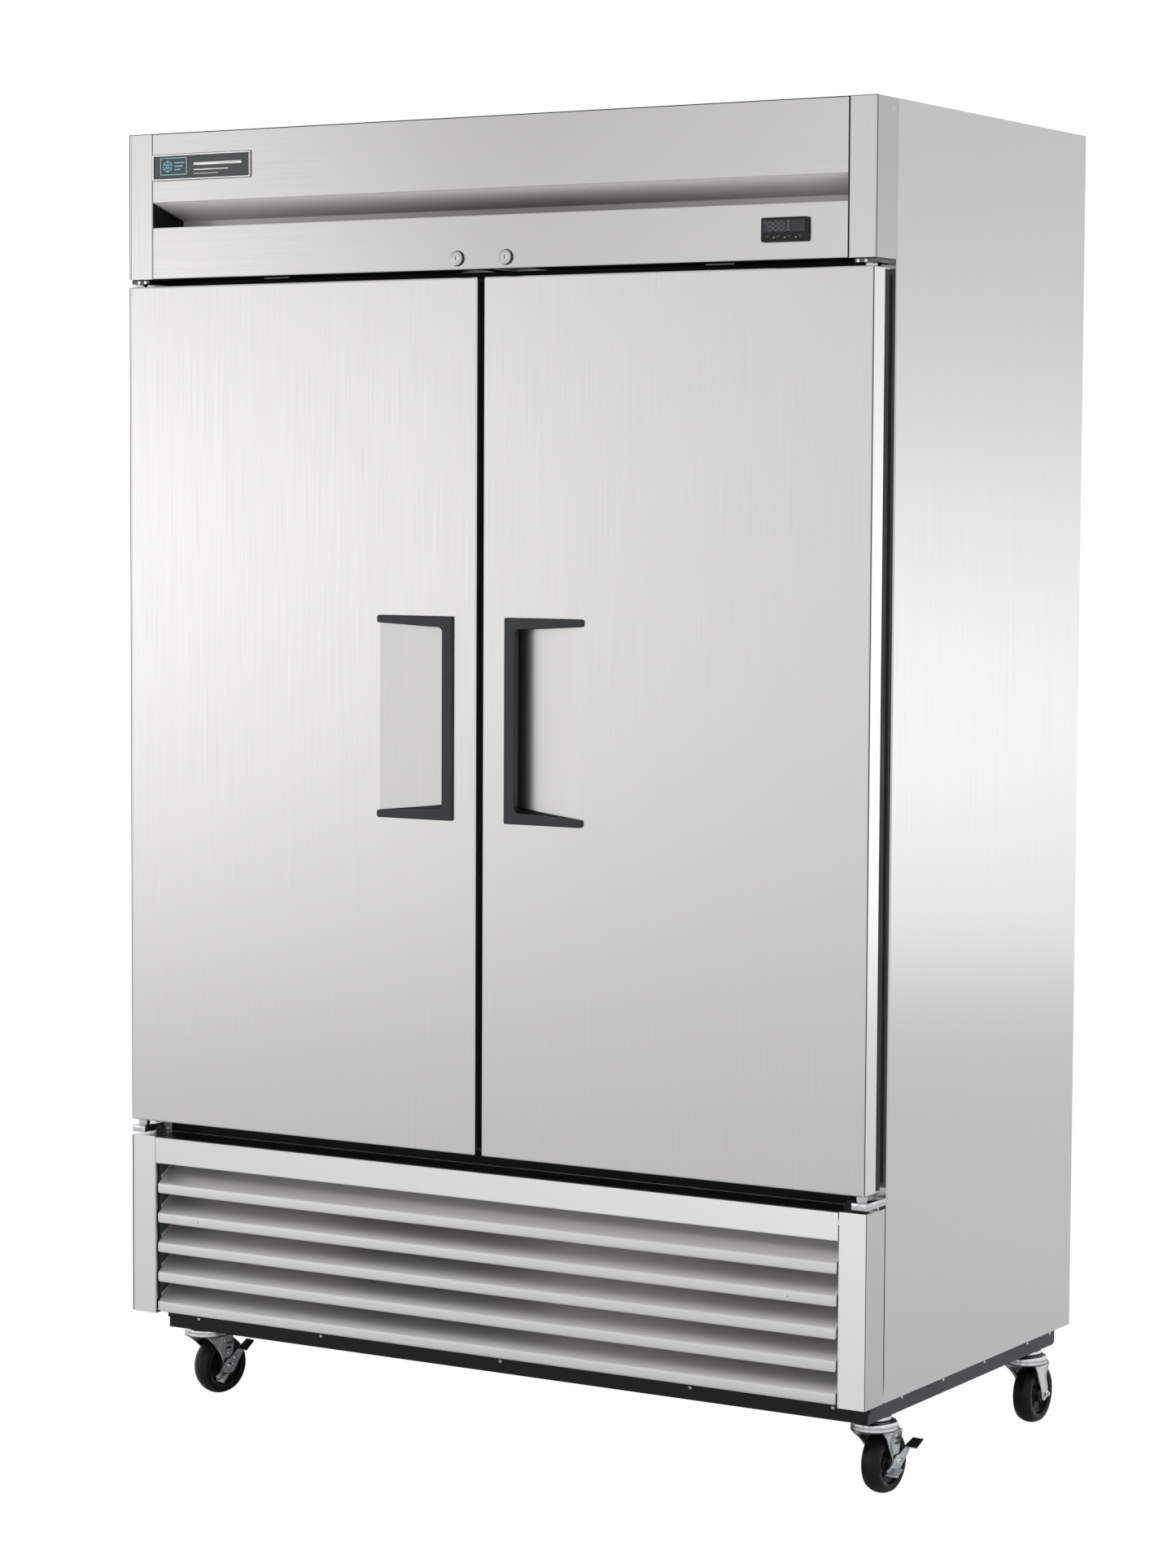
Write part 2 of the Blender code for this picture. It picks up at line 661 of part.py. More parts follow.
def build_handle(name, side):
    x0, x1 = HANDLE_X
    z0, z1 = HANDLE_Z
    outline = [
        (x0, z0),
        (x1, z0),
        (x1, z0 + ARM_TIP),
        (x0 + GRIP, z0 + GRIP),
        (x0 + GRIP, z1 - GRIP),
        (x1, z1 - ARM_TIP),
        (x1, z1),
        (x0, z1),
    ]
    front, back = HANDLE_FRONT_Y, DOOR_FRONT_Y - GAP
    shape = [mirrored(outline, side)]
    handle = soften(prism(f"door_handle_{name}", "Y", shape, front, back, CHARCOAL), 0.0015, 2)
    plan = mirrored(scoop_outline(-GAP, back - GAP), side)
    for edge, way in zip(SCOOP_Z, (1, -1)):
        near, far = edge + way * GAP, edge + way * 0.0035
        wall = prism(f"handle_wall_{name}_{way}", "Z", [plan], min(near, far), max(near, far))
        join(handle, wall)
    return handle


def build_grille():
    for name, side in SIDES.items():
        path = [
            (side * (SEAM_X + GAP), FRONT_Y + 0.030),
            (side * (SEAM_X + GAP), FRONT_Y),
            (side * HALF, FRONT_Y),
            (side * HALF, -0.315),
        ]
        post = bent_sheet(f"base_post_{name}", "Z", path, BASE_Z, GRILLE_TOP_Z, STEEL, side, 0.0025)
        low = (side * (SEAM_X + 0.001), FRONT_Y + 0.001, GRILLE_TOP_Z - SHEET)
        high = (side * (HALF - 0.0006), -0.3155, GRILLE_TOP_Z)
        join(post, box(f"post_cap_{name}", low, high))

    top = GRILLE_TOP_Z - 0.001
    path = [
        (FRONT_Y + 0.020, top - RAIL_DROP),
        (FRONT_Y, top - RAIL_DROP),
        (FRONT_Y, top),
        (-0.312, top),
    ]
    edge = SEAM_X - GAP
    bent_sheet("grille_top_rail", "X", path, -edge, edge, STEEL, -1)

    depth = LOUVER_BACK_Y - LOUVER_FRONT_Y
    for number in range(LOUVER_COUNT):
        top = LOUVER_TOP_Z - number * LOUVER_PITCH
        path = [
            (LOUVER_FRONT_Y + 0.011, top - LOUVER_NOSE),
            (LOUVER_FRONT_Y, top - LOUVER_NOSE),
            (LOUVER_FRONT_Y, top),
            (LOUVER_BACK_Y, top + depth * math.tan(LOUVER_RISE)),
        ]
        name = f"louver_{number + 1}"
        bent_sheet(name, "X", path, -SEAM_X + 0.003, SEAM_X - 0.003, STEEL, -1, 0.0025)


def build_base():
    low_y, high_y = FRAME_Y
    bottom, top = FRAME_Z
    outline = [(low_y, bottom), (high_y, bottom), (high_y, top + DECK_THICK)]
    side_view = rounded(outline, FRAME_CORNER, 3) + [Vector((low_y, top + DECK_THICK))]
    frame = prism("base_frame", "X", [side_view], -FRAME_X, FRAME_X, BLACK_PAINT)
    # The rails are channels under the deck, open towards the middle.
    for part, inset, under in (("floor", FRAME_RAIL, -REACH), ("rail", FRAME_WALL, FRAME_WALL)):
        low = (-FRAME_X + inset, low_y + inset, bottom + under)
        cut(frame, box(f"{part}_hollow", low, (FRAME_X - inset, high_y - inset, top)))
    reach = HALF - SHEET - GAP
    low = (-reach, FACE_Y + 2 * SHEET, top + GAP)
    join(frame, box("deck_flange", low, (reach, 0.366, top + DECK_THICK - GAP)))
    for name, (x, y, _) in CASTORS.items():
        hole = rod(f"stem_hole_{name}", "Z", (x, y), bottom - REACH, STEM_TOP_Z, STEM_R + 0.0015)
        cut(frame, hole)

    floor = FRAME_Z[1] + DECK_THICK + GAP
    profile = [(0, 0.225), (0.045, 0.218), (0.078, 0.195), (0.092, 0.160)]
    profile += [(0.092, 0.060), (0.082, 0.028), (0.105, 0.012), (0.105, 0), (0, 0)]
    compressor = turned("compressor", profile, 24, BLACK_PAINT)
    compressor.location = (*COMPRESSOR, floor)

    x0, x1 = CONDENSER_X
    front, back, shroud = CONDENSER_Y
    z0, z1 = CONDENSER_Z
    middle = ((x0 + x1) / 2, (z0 + z1) / 2)
    coil = box("condenser_coil", (x0, front, z0), (x1, shroud, z1), COIL_FINS)
    cut(coil, rod("shroud_bore", "Y", middle, back, shroud + 0.01, FAN_R + 0.006, None, 24))
    half = MOTOR_STRAP / 2
    low = (middle[0] - half, shroud - 0.001, z0)
    strap = box("motor_strap", low, (middle[0] + half, shroud + 0.006, z1))
    feet = box("coil_feet", (x0, back, floor), (x1, shroud, z0 + 0.002))
    motor = rod("fan_motor", "Y", middle, shroud + 0.004, shroud + MOTOR_LENGTH, MOTOR_R)
    join(coil, strap, motor, feet)
    fan("condenser_fan", middle, back + 0.012, shroud - 0.006, FAN_R, 5)


def fan(name, middle, front, back, radius, count):
    """A hub along Y with pitched blades."""
    wheel = rod(name, "Y", middle, front, back, radius * HUB_SHARE, GREY_PLASTIC)
    length = radius - 0.004
    for number in range(count):
        chord = radius * BLADE_CHORD
        blade = box(f"{name}_blade_{number}", (0.01, -0.001, -chord / 2), (length, 0.001, chord / 2))
        pitch = Matrix.Rotation(BLADE_PITCH, 4, "X")
        spin = Matrix.Rotation(math.tau * number / count, 4, "Y")
        centre = Matrix.Translation((middle[0], (front + back) / 2, middle[1]))
        blade.data.transform(centre @ spin @ pitch)
        join(wheel, blade)
    return pivot_at(wheel, (middle[0], (front + back) / 2, middle[1]))


def build_inside():
    box_low = (-EVAPORATOR_X, EVAPORATOR_Y[0], EVAPORATOR_Z[0])
    box_high = (EVAPORATOR_X, EVAPORATOR_Y[1], EVAPORATOR_Z[1])
    housing = box("evaporator_housing", box_low, box_high, ALUMINIUM)
    inset = Vector([EVAPORATOR_WALL] * 3)
    cut(housing, box("housing_hollow", Vector(box_low) + inset, Vector(box_high) - inset))
    height = sum(EVAPORATOR_Z) / 2
    front = EVAPORATOR_Y[0]
    for name, side in SIDES.items():
        middle = (side * EVAPORATOR_X / 2, height)
        hole_r = EVAPORATOR_FAN_R + 0.005
        hole = rod(f"fan_hole_{name}", "Y", middle, front - REACH, front + REACH, hole_r, None, 24)
        cut(housing, hole)
        fan(f"evaporator_fan_{name}", middle, front + 0.008, front + 0.042, EVAPORATOR_FAN_R, 4)

    for name, side in SIDES.items():
        for place, z in zip(("bottom", "middle", "top"), SHELF_Z):
            shelf(f"shelf_{name}_{place}", side, z)


def shelf(name, side, z):
    x0, x1 = SHELF_X
    y0, y1 = SHELF_Y
    wire = SHELF_ROD
    bay = (x1 - x0 - wire) / SHELF_BAYS
    rings = [[(x0, y0), (x1, y0), (x1, y1), (x0, y1)]]
    near, far = y0 + wire, y1 - wire
    for number in range(SHELF_BAYS):
        left = x0 + wire + number * bay
        right = left + bay - wire
        rings.append([(left, near), (right, near), (right, far), (left, far)])
    prism(name, "Z", [mirrored(ring, side) for ring in rings], z, z + wire, SHELF_COAT)


def fork_mesh():
    """The swivel fork about its stem, trailing along +Y, with its axle."""
    crown = turned(
        "fork_crown",
        [(0, 0.1282), (0.024, 0.1275), (0.030, 0.122), (0.030, 0.117), (0.036, 0.115)]
        + [(0.036, 0.107), (0.030, 0.105), (0, 0.105)],
        20,
    )
    crown_solid = add("fork_tool", baked(crown))
    stem = rod("fork_stem", "Z", (0, 0), 0.120, STEM_TOP_Z, STEM_R, None, 12)
    leg = [(-0.026, 0.110), (0.026, 0.110), (0.043, 0.052)]
    leg += [(0.037, 0.041), (0.025, 0.041), (0.018, 0.052)]
    near, far = LEG_X
    plates = [prism(f"fork_leg_{way}", "X", [leg], way * near, way * far) for way in (-1, 1)]
    axle = rod("fork_axle", "X", (TRAIL, WHEEL_R), -0.026, 0.031, AXLE_R, None, 12)
    join(crown_solid, stem, *plates, axle)
    return baked(crown_solid)


def wheel_mesh():
    """A wheel about the X axis, with a facet at the bottom."""
    facet = 1 / math.cos(math.pi / WHEEL_STEPS)
    half = WHEEL_HALF
    side = [(0.0057, -half), (0.016, -half), (0.018, -0.008), (0.034, -0.008), (0.037, -0.015)]
    side += [(0.044, -half), (WHEEL_R * facet, -0.009)]
    profile = side + [(r, -z) for r, z in reversed(side)] + [side[0]]
    wheel = turned("wheel_tool", profile[::-1], WHEEL_STEPS)
    mesh = baked(wheel)
    half_step = Matrix.Rotation(math.pi / WHEEL_STEPS, 4, "Z")
    mesh.transform(Matrix.Rotation(math.pi / 2, 4, "Y") @ half_step)
    return mesh


def pedal_mesh():
    """The brake rocker about the axle, on the outer side of the fork."""
    arm = [(-0.012, -0.012), (0.010, -0.010), (0.042, 0.022), (0.046, 0.030), (0.030, 0.026)]
    arm += [(0.012, 0.014), (-0.010, 0.012), (-0.026, -0.004), (-0.040, -0.010), (-0.038, -0.017)]
    rocker = prism("rocker", "X", [arm[::-1]], *ROCKER_X)
    toe = box("toe_pad", (0.0240, 0.026, 0.0235), (0.046, 0.052, 0.0275))
    heel = box("heel_pad", (0.0240, -0.042, -0.0165), (0.044, -0.026, -0.0135))
    join(rocker, toe, heel)
    cut(rocker, rod("rocker_bore", "X", (0, 0), 0.01, 0.06, AXLE_R + 0.0006, None, 16))
    return baked(rocker)


def build_castors():
    fork, wheel, pedal = fork_mesh(), wheel_mesh(), pedal_mesh()
    for name, (x, y, heading) in CASTORS.items():
        turn = Matrix.Rotation(math.radians(heading), 4, "Z")
        at_stem = Matrix.Translation((x, y, 0)) @ turn
        at_axle = at_stem @ Matrix.Translation((0, TRAIL, WHEEL_R))
        add(f"castor_fork_{name}", fork, ZINC).matrix_world = at_stem
        add(f"castor_wheel_{name}", wheel, RUBBER).matrix_world = at_axle
        if name.startswith("front"):
            add(f"brake_pedal_{name}", pedal, BLACK_PAINT).matrix_world = at_axle


build_cabinet()
build_header()
build_controls()
build_hinges()
for door_name, door_side in SIDES.items():
    build_door(door_name, door_side)
build_grille()
build_base()
build_inside()
build_castors()
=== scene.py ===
"""Looks of the reach in refrigerator: materials, fine pieces, studio and camera, in metres."""

import json
import math

import bmesh
import bpy
from mathutils import Matrix, Vector


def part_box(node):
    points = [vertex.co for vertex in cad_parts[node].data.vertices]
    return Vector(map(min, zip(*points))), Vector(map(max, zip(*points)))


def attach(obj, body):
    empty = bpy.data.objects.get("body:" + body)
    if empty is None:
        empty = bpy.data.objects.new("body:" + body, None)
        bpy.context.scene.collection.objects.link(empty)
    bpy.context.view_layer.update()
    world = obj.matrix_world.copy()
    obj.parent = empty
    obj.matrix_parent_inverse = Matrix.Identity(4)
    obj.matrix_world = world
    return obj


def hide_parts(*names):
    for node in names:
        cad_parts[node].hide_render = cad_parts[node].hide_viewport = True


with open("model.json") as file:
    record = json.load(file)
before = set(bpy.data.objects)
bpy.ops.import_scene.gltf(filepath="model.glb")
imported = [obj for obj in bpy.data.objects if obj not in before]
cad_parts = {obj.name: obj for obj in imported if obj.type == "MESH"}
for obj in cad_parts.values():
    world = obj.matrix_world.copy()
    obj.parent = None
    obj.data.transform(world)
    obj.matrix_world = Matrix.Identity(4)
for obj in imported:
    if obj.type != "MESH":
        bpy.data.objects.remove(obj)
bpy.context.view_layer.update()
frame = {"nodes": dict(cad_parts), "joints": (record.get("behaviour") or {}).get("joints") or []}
NODES = frame["nodes"]
JOINTS = {joint["name"]: joint for joint in frame["joints"]}
SIDES = {"left": -1, "right": 1}
CASTORS = ("front_left", "front_right", "rear_left", "rear_right")
BRAKE_LEAN = {"front_left": 12, "front_right": -3}
X, Y, Z = Vector((1, 0, 0)), Vector((0, 1, 0)), Vector((0, 0, 1))

# These stand a prism up. An outline's x, its y and the height become, in turn:
UPRIGHT = Matrix(((1, 0, 0, 0), (0, 0, 1, 0), (0, 1, 0, 0), (0, 0, 0, 1)))  # X, Z and Y
ACROSS = Matrix(((0, 0, 1), (1, 0, 0), (0, 1, 0))).to_4x4()  # Y, Z and X

DOOR_FRONT_Y = -0.3780
REAR_Y = 0.3685
SCOOP_Z = (1.0303, 1.3292)
HINGE_PIN_R = 0.00465
HINGE_PLATE_Z = 0.4788
LOUVER_SLOPE = math.tan(math.radians(35))
SHELF_PLACES = ("bottom", "middle", "top")
PILASTER_Y = (-0.225, 0.270)


# ---------------------------------------------------------------- mesh tools


def arc(centre, radius, start, end, steps):
    """Points on an arc in a plane, with angles in degrees."""
    turns = [math.radians(start + (end - start) * i / steps) for i in range(steps + 1)]
    return [(centre[0] + radius * math.cos(a), centre[1] + radius * math.sin(a)) for a in turns]


def round_rect(x0, x1, z0, z1, radius, steps=4):
    """A rectangle with round corners, anticlockwise from its lower right."""
    points = []
    for (x, z), start in (
        ((x1 - radius, z0 + radius), -90),
        ((x1 - radius, z1 - radius), 0),
        ((x0 + radius, z1 - radius), 90),
        ((x0 + radius, z0 + radius), 180),
    ):
        points += arc((x, z), radius, start, start + 90, steps)
    return points


def facing(direction):
    """The turn that carries +Z onto a direction."""
    return Z.rotation_difference(Vector(direction)).to_matrix().to_4x4()


class Shape:
    """Solids gathered in one mesh, which then becomes one piece."""

    def __init__(self, place=None):
        self.bm = bmesh.new()
        self.place = place or Matrix.Identity(4)

    def vert(self, point, turn=None):
        point = Vector(point)
        if turn is not None:
            point = turn @ point
        return self.bm.verts.new(self.place @ point)

    def soften(self, edges, soft, segments):
        bmesh.ops.bevel(self.bm, geom=edges, offset=soft, segments=segments, affect="EDGES", profile=0.5)

    def box(self, low, high, soft=0.0, turn=None, segments=2):
        low, high = (Vector(map(pick, low, high)) for pick in (min, max))
        made = bmesh.ops.create_cube(self.bm, size=1)["verts"]
        bmesh.ops.scale(self.bm, vec=high - low, verts=made)
        centre = Matrix.Translation((low + high) / 2)
        if turn is not None:
            centre = centre @ turn.to_4x4()
        bmesh.ops.transform(self.bm, matrix=self.place @ centre, verts=made)
        if soft:
            edges = list({edge for vert in made for edge in vert.link_edges})
            self.soften(edges, soft, segments)
        return self

    def skin(self, loops, closed_ring=True, closed_path=False):
        """Quads between rows of points that have the same number of points, or one at a pole."""
        pairs = list(zip(loops, loops[1:]))
        if closed_path:
            pairs.append((loops[-1], loops[0]))
        for a, b in pairs:
            count = max(len(a), len(b))
            for i in range(count if closed_ring else count - 1):
                j = (i + 1) % count
                corners = [a[i % len(a)], a[j % len(a)], b[j % len(b)], b[i % len(b)]]
                unique = list(dict.fromkeys(corners))
                if len(unique) > 2:
                    self.bm.faces.new(unique)
        return self

    def lathe(self, profile, at=(0, 0, 0), axis=Z, steps=32, closed=False):
        """A profile of (radius, height) points turned about an axis through a point."""
        turn = Matrix.Translation(Vector(at)) @ facing(axis)
        loops = []
        for radius, height in profile:
            if radius < 1e-6:
                loops.append([self.vert((0, 0, height), turn)])
                continue
            ring = arc((0, 0), radius, 0, 360, steps)[:-1]
            loops.append([self.vert((u, v, height), turn) for u, v in ring])
        return self.skin(loops, closed_path=closed)

    def prism(self, outline, start, end, turn=None, soft=0.0, segments=2):
        """A flat outline of (x, y) points between two heights, then turned into place."""
        low = [self.vert((u, v, start), turn) for u, v in outline]
        high = [self.vert((u, v, end), turn) for u, v in outline]
        caps = [self.bm.faces.new(low[::-1]), self.bm.faces.new(high)]
        self.skin([low, high])
        if soft:
            edges = [edge for cap in caps for edge in cap.edges]
            self.soften(edges, soft, segments)
        return self

    def frame_ring(self, profile, rect, radius=0.0, steps=1, closed=True):
        """A profile of (inset, y) points carried round a rectangle that faces -Y."""
        x0, x1, z0, z1 = rect
        loops = []
        for inset, y in profile:
            corner = max(radius - inset, 0.0002)
            ring = round_rect(x0 + inset, x1 - inset, z0 + inset, z1 - inset, corner, steps)
            loops.append([self.vert((u, y, v)) for u, v in ring])
        self.skin(loops, closed_path=closed)
        return loops

    def tube(self, points, radius, sides=8):
        """A round bar along points, with flat ends."""
        points = [Vector(p) for p in points]
        side = (points[1] - points[0]).orthogonal().normalized()
        loops = []
        for i, point in enumerate(points):
            ahead = points[min(i + 1, len(points) - 1)] - points[max(i - 1, 0)]
            ahead.normalize()
            side = (side - ahead * side.dot(ahead)).normalized()
            other = ahead.cross(side)
            ring = arc((0, 0), radius, 0, 360, sides)[:-1]
            loops.append([self.vert(point + side * u + other * v) for u, v in ring])
        self.skin(loops)
        self.bm.faces.new(loops[0][::-1])
        self.bm.faces.new(loops[-1])
        return self

    def screw(self, at, axis, radius, height=0.0015, recess=True):
        """A pan head with a cross recess."""
        dome = arc((0, height - radius * 1.6), radius * 1.6, 90, 90 - 38, 4)
        inner = radius * 0.42
        if recess:
            top = [(0, height * 0.35), (inner * 0.6, height * 0.35), (inner, height)]
        else:
            top = [(0, height)]
        rim = [(r, h) for r, h in dome if r > inner * 1.1]
        profile = top + rim + [(radius, 0), (radius, -0.0004)]
        return self.lathe(profile, at, axis, 14)

    def piece(self, name, body, material, slot=None, replaces=(), angle=35):
        mesh = bpy.data.meshes.new(name)
        bmesh.ops.recalc_face_normals(self.bm, faces=self.bm.faces)
        self.bm.to_mesh(mesh)
        self.bm.free()
        mesh.shade_smooth()
        mesh.set_sharp_from_angle(angle=math.radians(angle))
        mesh.materials.append(material)
        obj = bpy.data.objects.new(name, mesh)
        bpy.context.scene.collection.objects.link(obj)
        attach(obj, body)
        if replaces:
            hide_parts(*replaces)
        return obj


def wires(name, body, material, groups, slot=None, replaces=()):
    """Round wires as one mesh; groups holds (radius, sides, paths)."""
    shape = Shape()
    for radius, sides, paths in groups:
        for path in paths:
            shape.tube(path, radius, sides)
    return shape.piece(name, body, material, slot, replaces, 50)


# ---------------------------------------------------------------- materials


class Recipe:
    """A material's shader and the procedural nodes that feed it."""

    def __init__(self, name, colour, rough=0.5, metallic=0.0, **sockets):
        self.material = bpy.data.materials.new(name)
        self.material.use_nodes = True
        self.tree = self.material.node_tree
        self.shader = self.tree.nodes["Principled BSDF"]
        self.colour = colour
        self.set("Base Color", (*colour, 1))
        self.set("Roughness", rough)
        self.set("Metallic", metallic)
        for socket, value in sockets.items():
            self.set(socket.replace("_", " "), value)
        own = self.tree.nodes.new("ShaderNodeTexCoord").outputs
        self.place, self.normal = own["Object"], own["Normal"]

    def set(self, socket, value):
        self.shader.inputs[socket].default_value = value

    def link(self, source, socket):
        self.tree.links.new(source, socket)

    def noise(self, scale, stretch=(1, 1, 1), detail=3.0, rough=0.55, offset=0.0):
        mapping = self.tree.nodes.new("ShaderNodeMapping")
        mapping.inputs["Scale"].default_value = stretch
        mapping.inputs["Location"].default_value = (offset, offset, offset)
        self.link(self.place, mapping.inputs["Vector"])
        noise = self.tree.nodes.new("ShaderNodeTexNoise")
        noise.inputs["Scale"].default_value = scale
        noise.inputs["Detail"].default_value = detail
        noise.inputs["Roughness"].default_value = rough
        self.link(mapping.outputs["Vector"], noise.inputs["Vector"])
        return noise.outputs["Fac"]

    def axis(self, letter):
        """The object's own X, Y or Z."""
        parts = self.tree.nodes.new("ShaderNodeSeparateXYZ")
        self.link(self.place, parts.inputs[0])
        return parts.outputs[letter]

    def sideways(self):
        """One on faces that look along X, nought on those that look along Y or Z."""
        parts = self.tree.nodes.new("ShaderNodeSeparateXYZ")
        self.link(self.normal, parts.inputs[0])
        size = self.tree.nodes.new("ShaderNodeMath")
        size.operation = "ABSOLUTE"
        self.link(parts.outputs["X"], size.inputs[0])
        return self.spread(size.outputs[0], 0, 1, 0.4, 0.8)

    def times(self, a, b):
        product = self.tree.nodes.new("ShaderNodeMath")
        product.operation = "MULTIPLY"
        self.link(a, product.inputs[0])
        self.link(b, product.inputs[1])
        return product.outputs[0]

    def spread(self, source, low, high, start=0.3, end=0.7):
        """A map from start...end of the source to low...high."""
        spread = self.tree.nodes.new("ShaderNodeMapRange")
        for name, value in (("From Min", start), ("From Max", end), ("To Min", low), ("To Max", high)):
            spread.inputs[name].default_value = value
        self.link(source, spread.inputs["Value"])
        return spread.outputs["Result"]

    def ramp(self, source, stops):
        """Colours at rising values of the source, blended between them."""
        start, end = stops[0][0], stops[-1][0]
        ramp = self.tree.nodes.new("ShaderNodeValToRGB")
        marks = ramp.color_ramp.elements
        while len(marks) < len(stops):
            marks.new(0.5)
        for mark, (at, colour) in zip(marks, stops):
            mark.position = (at - start) / (end - start)
            mark.color = (*colour, 1)
        self.link(self.spread(source, 0, 1, start, end), ramp.inputs[0])
        return ramp.outputs[0]

    def tint(self, factor, other, under=None):
        """Mixes another colour over what is there, by the factor."""
        mix = self.tree.nodes.new("ShaderNodeMix")
        mix.data_type = "RGBA"
        start = under or self.colour
        if isinstance(start, tuple):
            mix.inputs["A"].default_value = (*start, 1)
        else:
            self.link(start, mix.inputs["A"])
        if isinstance(other, tuple):
            mix.inputs["B"].default_value = (*other, 1)
        else:
            self.link(other, mix.inputs["B"])
        self.link(factor, mix.inputs["Factor"])
        return mix.outputs["Result"]

    def paint(self, source):
        self.link(source, self.shader.inputs["Base Color"])
        return self

    def roughen(self, source):
        self.link(source, self.shader.inputs["Roughness"])
        return self

    def bump(self, source, strength, distance, under=None):
        bump = self.tree.nodes.new("ShaderNodeBump")
        bump.inputs["Strength"].default_value = strength
        bump.inputs["Distance"].default_value = distance
        self.link(source, bump.inputs["Height"])
        if under is not None:
            self.link(under, bump.inputs["Normal"])
        self.link(bump.outputs["Normal"], self.shader.inputs["Normal"])
        return bump.outputs["Normal"]


def scaled(colour, factor):
    return tuple(min(1.0, channel * factor) for channel in colour)


def brushed(name, colour, grain, rough=0.3, contrast=0.05, smudge=0.03, shading=None, metallic=1.0):
    """Brushed sheet: fine streaks along the grain, faint cloudiness and a few handling marks."""
    recipe = Recipe(name, colour, rough, metallic)
    fine = {"X": (5, 900, 900), "Y": (900, 5, 900), "Z": (900, 900, 5)}[grain]
    broad = {"X": (0.8, 60, 60), "Y": (60, 0.8, 60), "Z": (60, 60, 0.8)}[grain]
    streaks = recipe.noise(1.0, fine, 2.0, 0.6)
    bands = recipe.noise(1.0, broad, 2.0, 0.6, 3.1)
    cloud = recipe.noise(1.6, (1, 1, 1), 4.0, 0.6, 7.7)
    dark, light = scaled(colour, 1 - contrast), scaled(colour, 1 + contrast)
    base = recipe.tint(recipe.spread(streaks, 0, 1), dark, light)
    base = recipe.tint(recipe.spread(bands, 0, 0.35), scaled(colour, 1 - contrast / 3), base)
    base = recipe.tint(recipe.spread(cloud, 0, smudge * 4, 0.45, 0.75), scaled(colour, 0.93), base)
    if shading is not None:
        base = shading(recipe, base)
    recipe.paint(base)
    recipe.roughen(recipe.spread(streaks, rough - 0.4 * contrast, rough + contrast))
    recipe.bump(streaks, min(0.03, 1.2 * contrast), 0.0001)
    return recipe.material


def moulded(name, colour, rough=0.45, grain=1400.0, depth=0.00008, strength=0.35, **sockets):
    """Moulded plastic or rubber with a fine spark-eroded texture and a little dust."""
    recipe = Recipe(name, colour, rough, 0.0, **{"Specular_IOR_Level": 0.25, **sockets})
    texture = recipe.noise(grain, (1, 1, 1), 2.0)
    dust = recipe.noise(9.0, (1, 1, 1), 5.0, 0.65, 1.3)
    base = recipe.tint(recipe.spread(dust, 0, 0.35, 0.5, 0.8), scaled(colour, 1.5))
    recipe.paint(recipe.tint(recipe.spread(texture, 0, 0.5), scaled(colour, 0.8), base))
    recipe.roughen(recipe.spread(dust, rough - 0.05, rough + 0.12))
    recipe.bump(texture, strength, depth)
    return recipe.material


def plated(name, colour, rough=0.22):
    """Zinc plate: bright, slightly mottled, with soft tool marks."""
    recipe = Recipe(name, colour, rough, 1.0)
    mottle = recipe.noise(160.0, (1, 1, 1), 4.0, 0.6)
    broad = recipe.noise(28.0, (1, 1, 1), 3.0, 0.6, 2.2)
    base = recipe.tint(recipe.spread(mottle, 0, 1, 0.35, 0.7), scaled(colour, 0.86))
    recipe.paint(recipe.tint(recipe.spread(broad, 0, 0.6, 0.5, 0.7), scaled(colour, 0.72), base))
    recipe.roughen(recipe.spread(broad, rough - 0.05, rough + 0.14))
    recipe.bump(mottle, 0.18, 0.00025)
    return recipe.material


def crown_with_painted_light(name, stops):
    """Bright plate with light and dark bands painted by height above the floor: painted highlights and shade
    for the turned rings.
    """
    recipe = Recipe(name, (0.62, 0.64, 0.66), 0.2, 1.0)
    mottle = recipe.noise(120.0, (1, 1, 1), 4.0, 0.6)
    # Painted highlights and shade: the colour comes from the bands by height.
    base = recipe.ramp(recipe.axis("Z"), stops)
    recipe.paint(recipe.tint(recipe.spread(mottle, 0, 0.5, 0.4, 0.75), (0.36, 0.38, 0.39), base))
    recipe.roughen(recipe.spread(mottle, 0.14, 0.26))
    recipe.bump(mottle, 0.12, 0.0002)
    return recipe.material


def painted(name, colour, rough=0.42, wear=(0.32, 0.34, 0.36), side=None):
    """Coated steel with orange peel and small worn specks; a side colour, if given, is painted on faces that
    look along X as painted light.
    """
    recipe = Recipe(name, colour, rough, 0.0, Specular_IOR_Level=0.22)
    peel = recipe.noise(330.0, (1, 1, 1), 2.0)
    specks = recipe.noise(70.0, (1, 1, 1), 6.0, 0.75, 4.0)
    dust = recipe.noise(5.0, (1, 1, 1), 5.0, 0.6, 9.0)
    base = recipe.tint(recipe.spread(dust, 0, 0.35, 0.45, 0.8), scaled(colour, 1.9))
    # Painted light: faces that look along X take the lighter side colour.
    if side is not None:
        base = recipe.tint(recipe.sideways(), side, base)
    recipe.paint(recipe.tint(recipe.spread(specks, 0, 0.8, 0.72, 0.76), wear, base))
    recipe.roughen(recipe.spread(dust, rough - 0.06, rough + 0.12))
    recipe.bump(peel, 0.25, 0.00018)
    return recipe.material


def spangled(name, colour):
    """Galvanised sheet: crystal patches of slightly different grey."""
    recipe = Recipe(name, colour, 0.42, 1.0)
    patches = recipe.noise(75.0, (1, 1, 0.6), 5.0, 0.75)
    fine = recipe.noise(420.0, (1, 1, 1), 3.0)
    base = recipe.tint(recipe.spread(patches, 0, 1, 0.4, 0.6), scaled(colour, 0.88))
    recipe.paint(recipe.tint(recipe.spread(fine, 0, 0.4), scaled(colour, 1.12), base))
    recipe.roughen(recipe.spread(patches, 0.36, 0.46, 0.4, 0.6))
    recipe.bump(fine, 0.08, 0.0002)
    return recipe.material


